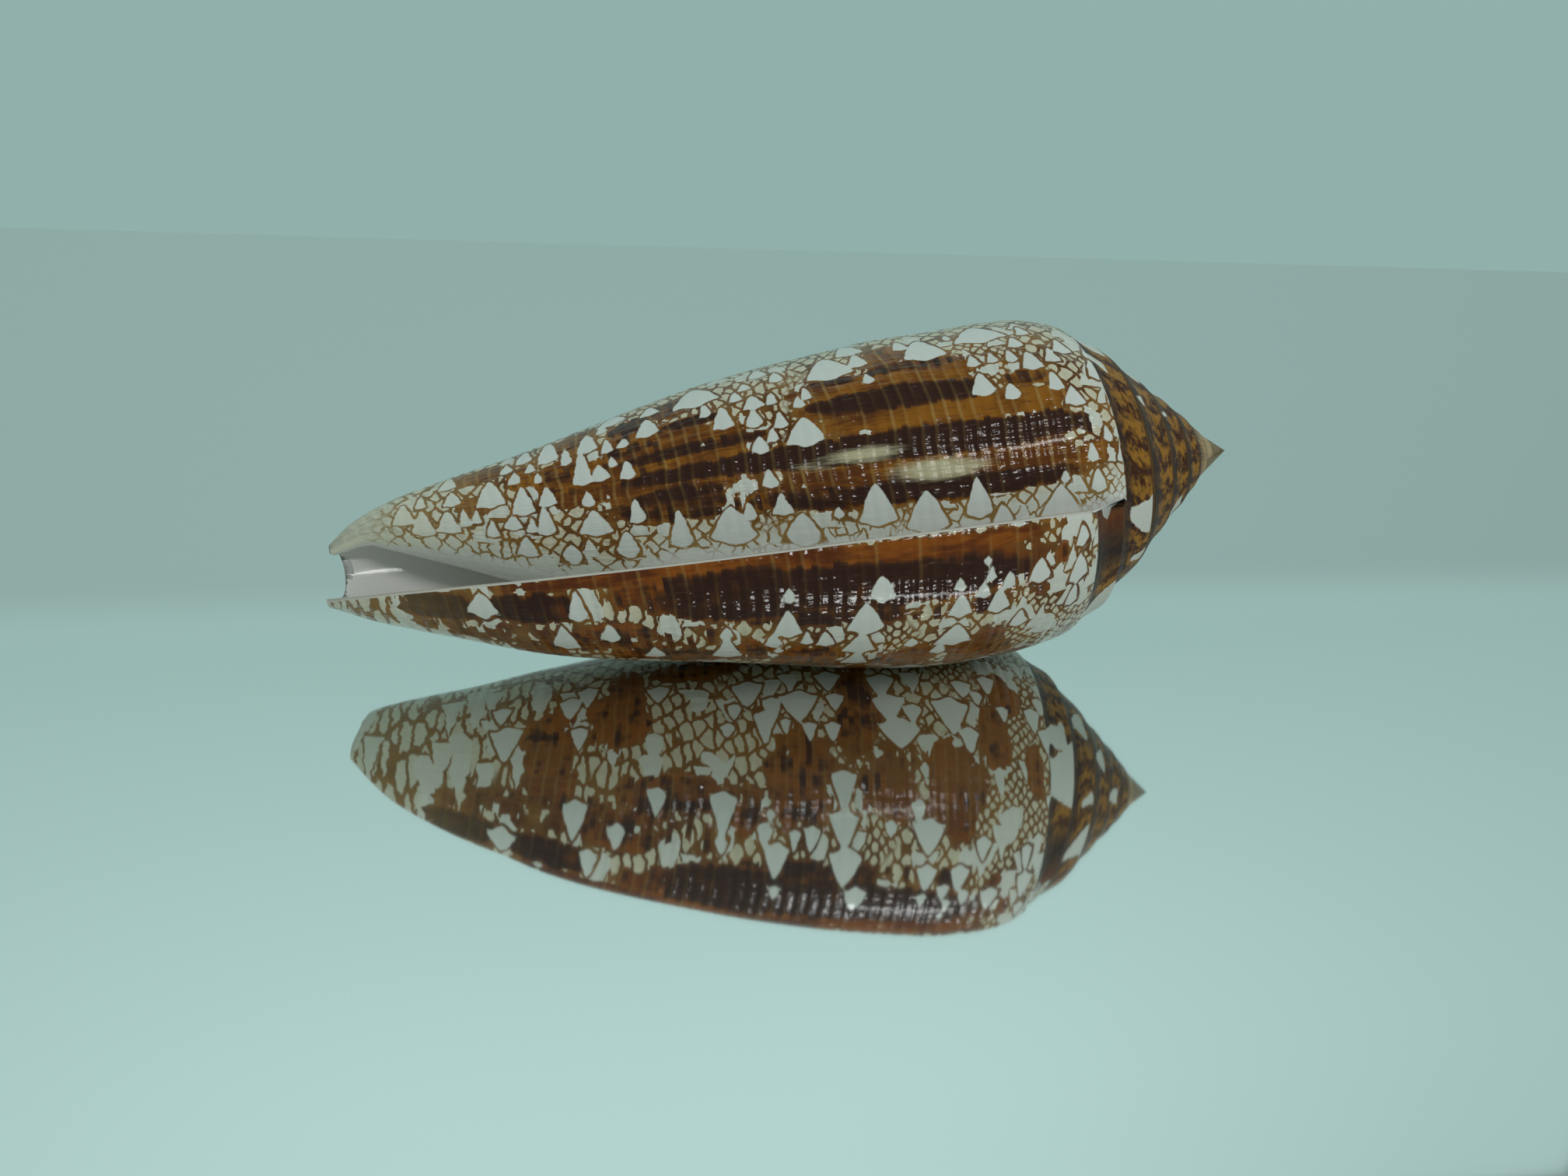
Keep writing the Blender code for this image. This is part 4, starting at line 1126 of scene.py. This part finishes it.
def add_area_light(name, position, target, width, height, power):
    light = bpy.data.lights.new(name, "AREA")
    light.shape = "RECTANGLE"
    light.size, light.size_y = width, height
    light.energy = power
    item = bpy.data.objects.new(name, light)
    item.location = position
    item.rotation_euler = (Vector(target) - Vector(position)).to_track_quat("-Z", "Y").to_euler()
    bpy.context.scene.collection.objects.link(item)
    return item


def colour_property(name, description, default):
    """A colour with its opacity that a user can change."""
    return bpy.props.FloatVectorProperty(
        name=name, description=description, default=default, size=4, min=0.0, max=1.0, subtype="COLOR")


class ShellSettings(bpy.types.PropertyGroup):
    """Choices for the shell's fine surface."""

    line_brown: colour_property("Net lines", "Lighter brown of the net's lines", LINE_BROWN[1])
    ochre: colour_property("Ochre", "Lighter ochre of the brown bands", OCHRE[1])
    chocolate: colour_property("Chocolate", "Lighter brown of the dark streaks", CHOCOLATE[1])
    white: colour_property("White marks", "White of the large marks", CLEAN_WHITE[0])
    cream: colour_property("Cream", "Pale ground between the net's lines", NET_WHITE[1])
    glaze_white: colour_property("Glaze", "White glaze beside the slit", GLAZE_WHITE)
    lining_white: colour_property("Lining", "White of the inside", LINING_WHITE[0])
    gloss: bpy.props.FloatProperty(
        name="Gloss", description="Weight of the clear outer gloss", default=0.10, min=0.0, max=1.0,
        subtype="FACTOR")


class StageSettings(bpy.types.PropertyGroup):
    """Choices for the floor and the light."""

    floor_size: bpy.props.FloatProperty(
        name="Floor size", description="Edge length of the floor", default=6.0, min=0.5,
        subtype="DISTANCE", unit="LENGTH")
    floor_colour: colour_property("Floor", "Colour of the floor", FLOOR_MIRROR)
    backdrop_colour: colour_property("Backdrop", "Glow of the backdrop near the floor", BACKDROP_GLOW[0])
    room_strength: bpy.props.FloatProperty(
        name="Room light", description="Strength of the even light from all round",
        default=ROOM_STRENGTH, min=0.0)
    key_power: bpy.props.FloatProperty(
        name="Key light", description="Power of the main soft light in watts", default=0.74, min=0.0)
    sky_power: bpy.props.FloatProperty(
        name="Sky light", description="Strength of the broad soft light from above", default=0.60, min=0.0)


class SHELL_OT_build(bpy.types.Operator):
    """Build the shell's fine surface and its markings"""

    bl_idname = "shell.build"
    bl_label = "Build shell"

    def execute(self, context):
        mesh = build_surface()
        if len(mesh.vertices) == 0:
            raise RuntimeError("the shell's surface has no vertices")
        shell = bpy.data.objects.new("shell_surface", mesh)
        mesh.materials.append(shell_material(context.scene.shell_settings))
        context.scene.collection.objects.link(shell)
        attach(shell, "root")
        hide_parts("shell")
        return {"FINISHED"}


class SHELL_OT_stage(bpy.types.Operator):
    """Build the floor, the soft lights and the camera"""

    bl_idname = "shell.stage"
    bl_label = "Build stage"

    def execute(self, context):
        scene = context.scene
        settings = scene.shell_stage_settings
        half = settings.floor_size / 2.0
        profile = [(MATTE_START, 0.0)]
        for step in range(BACKDROP_STEPS + 1):
            turn = 0.5 * math.pi * step / BACKDROP_STEPS
            depth, rise = BACKDROP_BEND * math.sin(turn), BACKDROP_BEND * (1.0 - math.cos(turn))
            profile.append((BACKDROP_START + depth, rise))
        profile.append((BACKDROP_START + BACKDROP_BEND, half))
        floor = floor_material(settings.floor_colour)
        backdrop = backdrop_material(settings.backdrop_colour)
        front = add_sheet("floor_front", [(-half, 0.0), (MATTE_START, 0.0)], half, (floor,))
        add_sheet("floor_back", profile, half, (floor, backdrop))

        # The key light reaches the shell and the mirror-bright floor in front of it.
        key = add_area_light("key_light", KEY_PLACE, KEY_TARGET, KEY_WIDTH, KEY_HEIGHT, settings.key_power)
        lit = bpy.data.collections.new("lit_by_key_light")
        lit.objects.link(bpy.data.objects["shell_surface"])
        lit.objects.link(front)
        key.light_linking.receiver_collection = lit
        sky = bpy.data.lights.new("sky_light", "SUN")
        sky.energy = settings.sky_power
        sky.angle = math.radians(SKY_ANGLE)
        sky.color = SKY_COLOUR
        overhead = bpy.data.objects.new("sky_light", sky)
        overhead.rotation_euler = tuple(math.radians(turn) for turn in SKY_TURN)
        overhead.visible_glossy = False
        scene.collection.objects.link(overhead)
        world = bpy.data.worlds.new("soft_room")
        world.use_nodes = True
        background = world.node_tree.nodes["Background"]
        background.inputs["Color"].default_value = ROOM_COLOUR
        background.inputs["Strength"].default_value = settings.room_strength
        scene.world = world

        camera = bpy.data.cameras.new("camera")
        camera.lens = CAMERA_LENS
        camera.sensor_width = 36.0
        camera.clip_start = 0.005
        camera.clip_end = 20.0
        viewer = bpy.data.objects.new("camera", camera)
        viewer.location = CAMERA_PLACE
        viewer.rotation_euler = tuple(math.radians(turn) for turn in CAMERA_TURN)
        scene.collection.objects.link(viewer)
        scene.camera = viewer
        scene.view_settings.view_transform = "Standard"
        return {"FINISHED"}


class SHELL_PT_panel(bpy.types.Panel):
    """Sidebar panel with the shell's and the stage's settings"""

    bl_label = "Cone Shell"
    bl_idname = "SHELL_PT_panel"
    bl_space_type = "VIEW_3D"
    bl_region_type = "UI"
    bl_category = "Cone Shell"

    def draw(self, context):
        for name in ShellSettings.__annotations__:
            self.layout.prop(context.scene.shell_settings, name)
        self.layout.operator(SHELL_OT_build.bl_idname)
        for name in StageSettings.__annotations__:
            self.layout.prop(context.scene.shell_stage_settings, name)
        self.layout.operator(SHELL_OT_stage.bl_idname)


CLASSES = (ShellSettings, StageSettings, SHELL_OT_build, SHELL_OT_stage, SHELL_PT_panel)


def register():
    for entry in CLASSES:
        bpy.utils.register_class(entry)
    bpy.types.Scene.shell_settings = bpy.props.PointerProperty(type=ShellSettings)
    bpy.types.Scene.shell_stage_settings = bpy.props.PointerProperty(type=StageSettings)


def unregister():
    del bpy.types.Scene.shell_stage_settings
    del bpy.types.Scene.shell_settings
    for entry in reversed(CLASSES):
        bpy.utils.unregister_class(entry)


def main():
    register()
    bpy.ops.shell.build()
    bpy.ops.shell.stage()


if __name__ == "__main__":
    main()
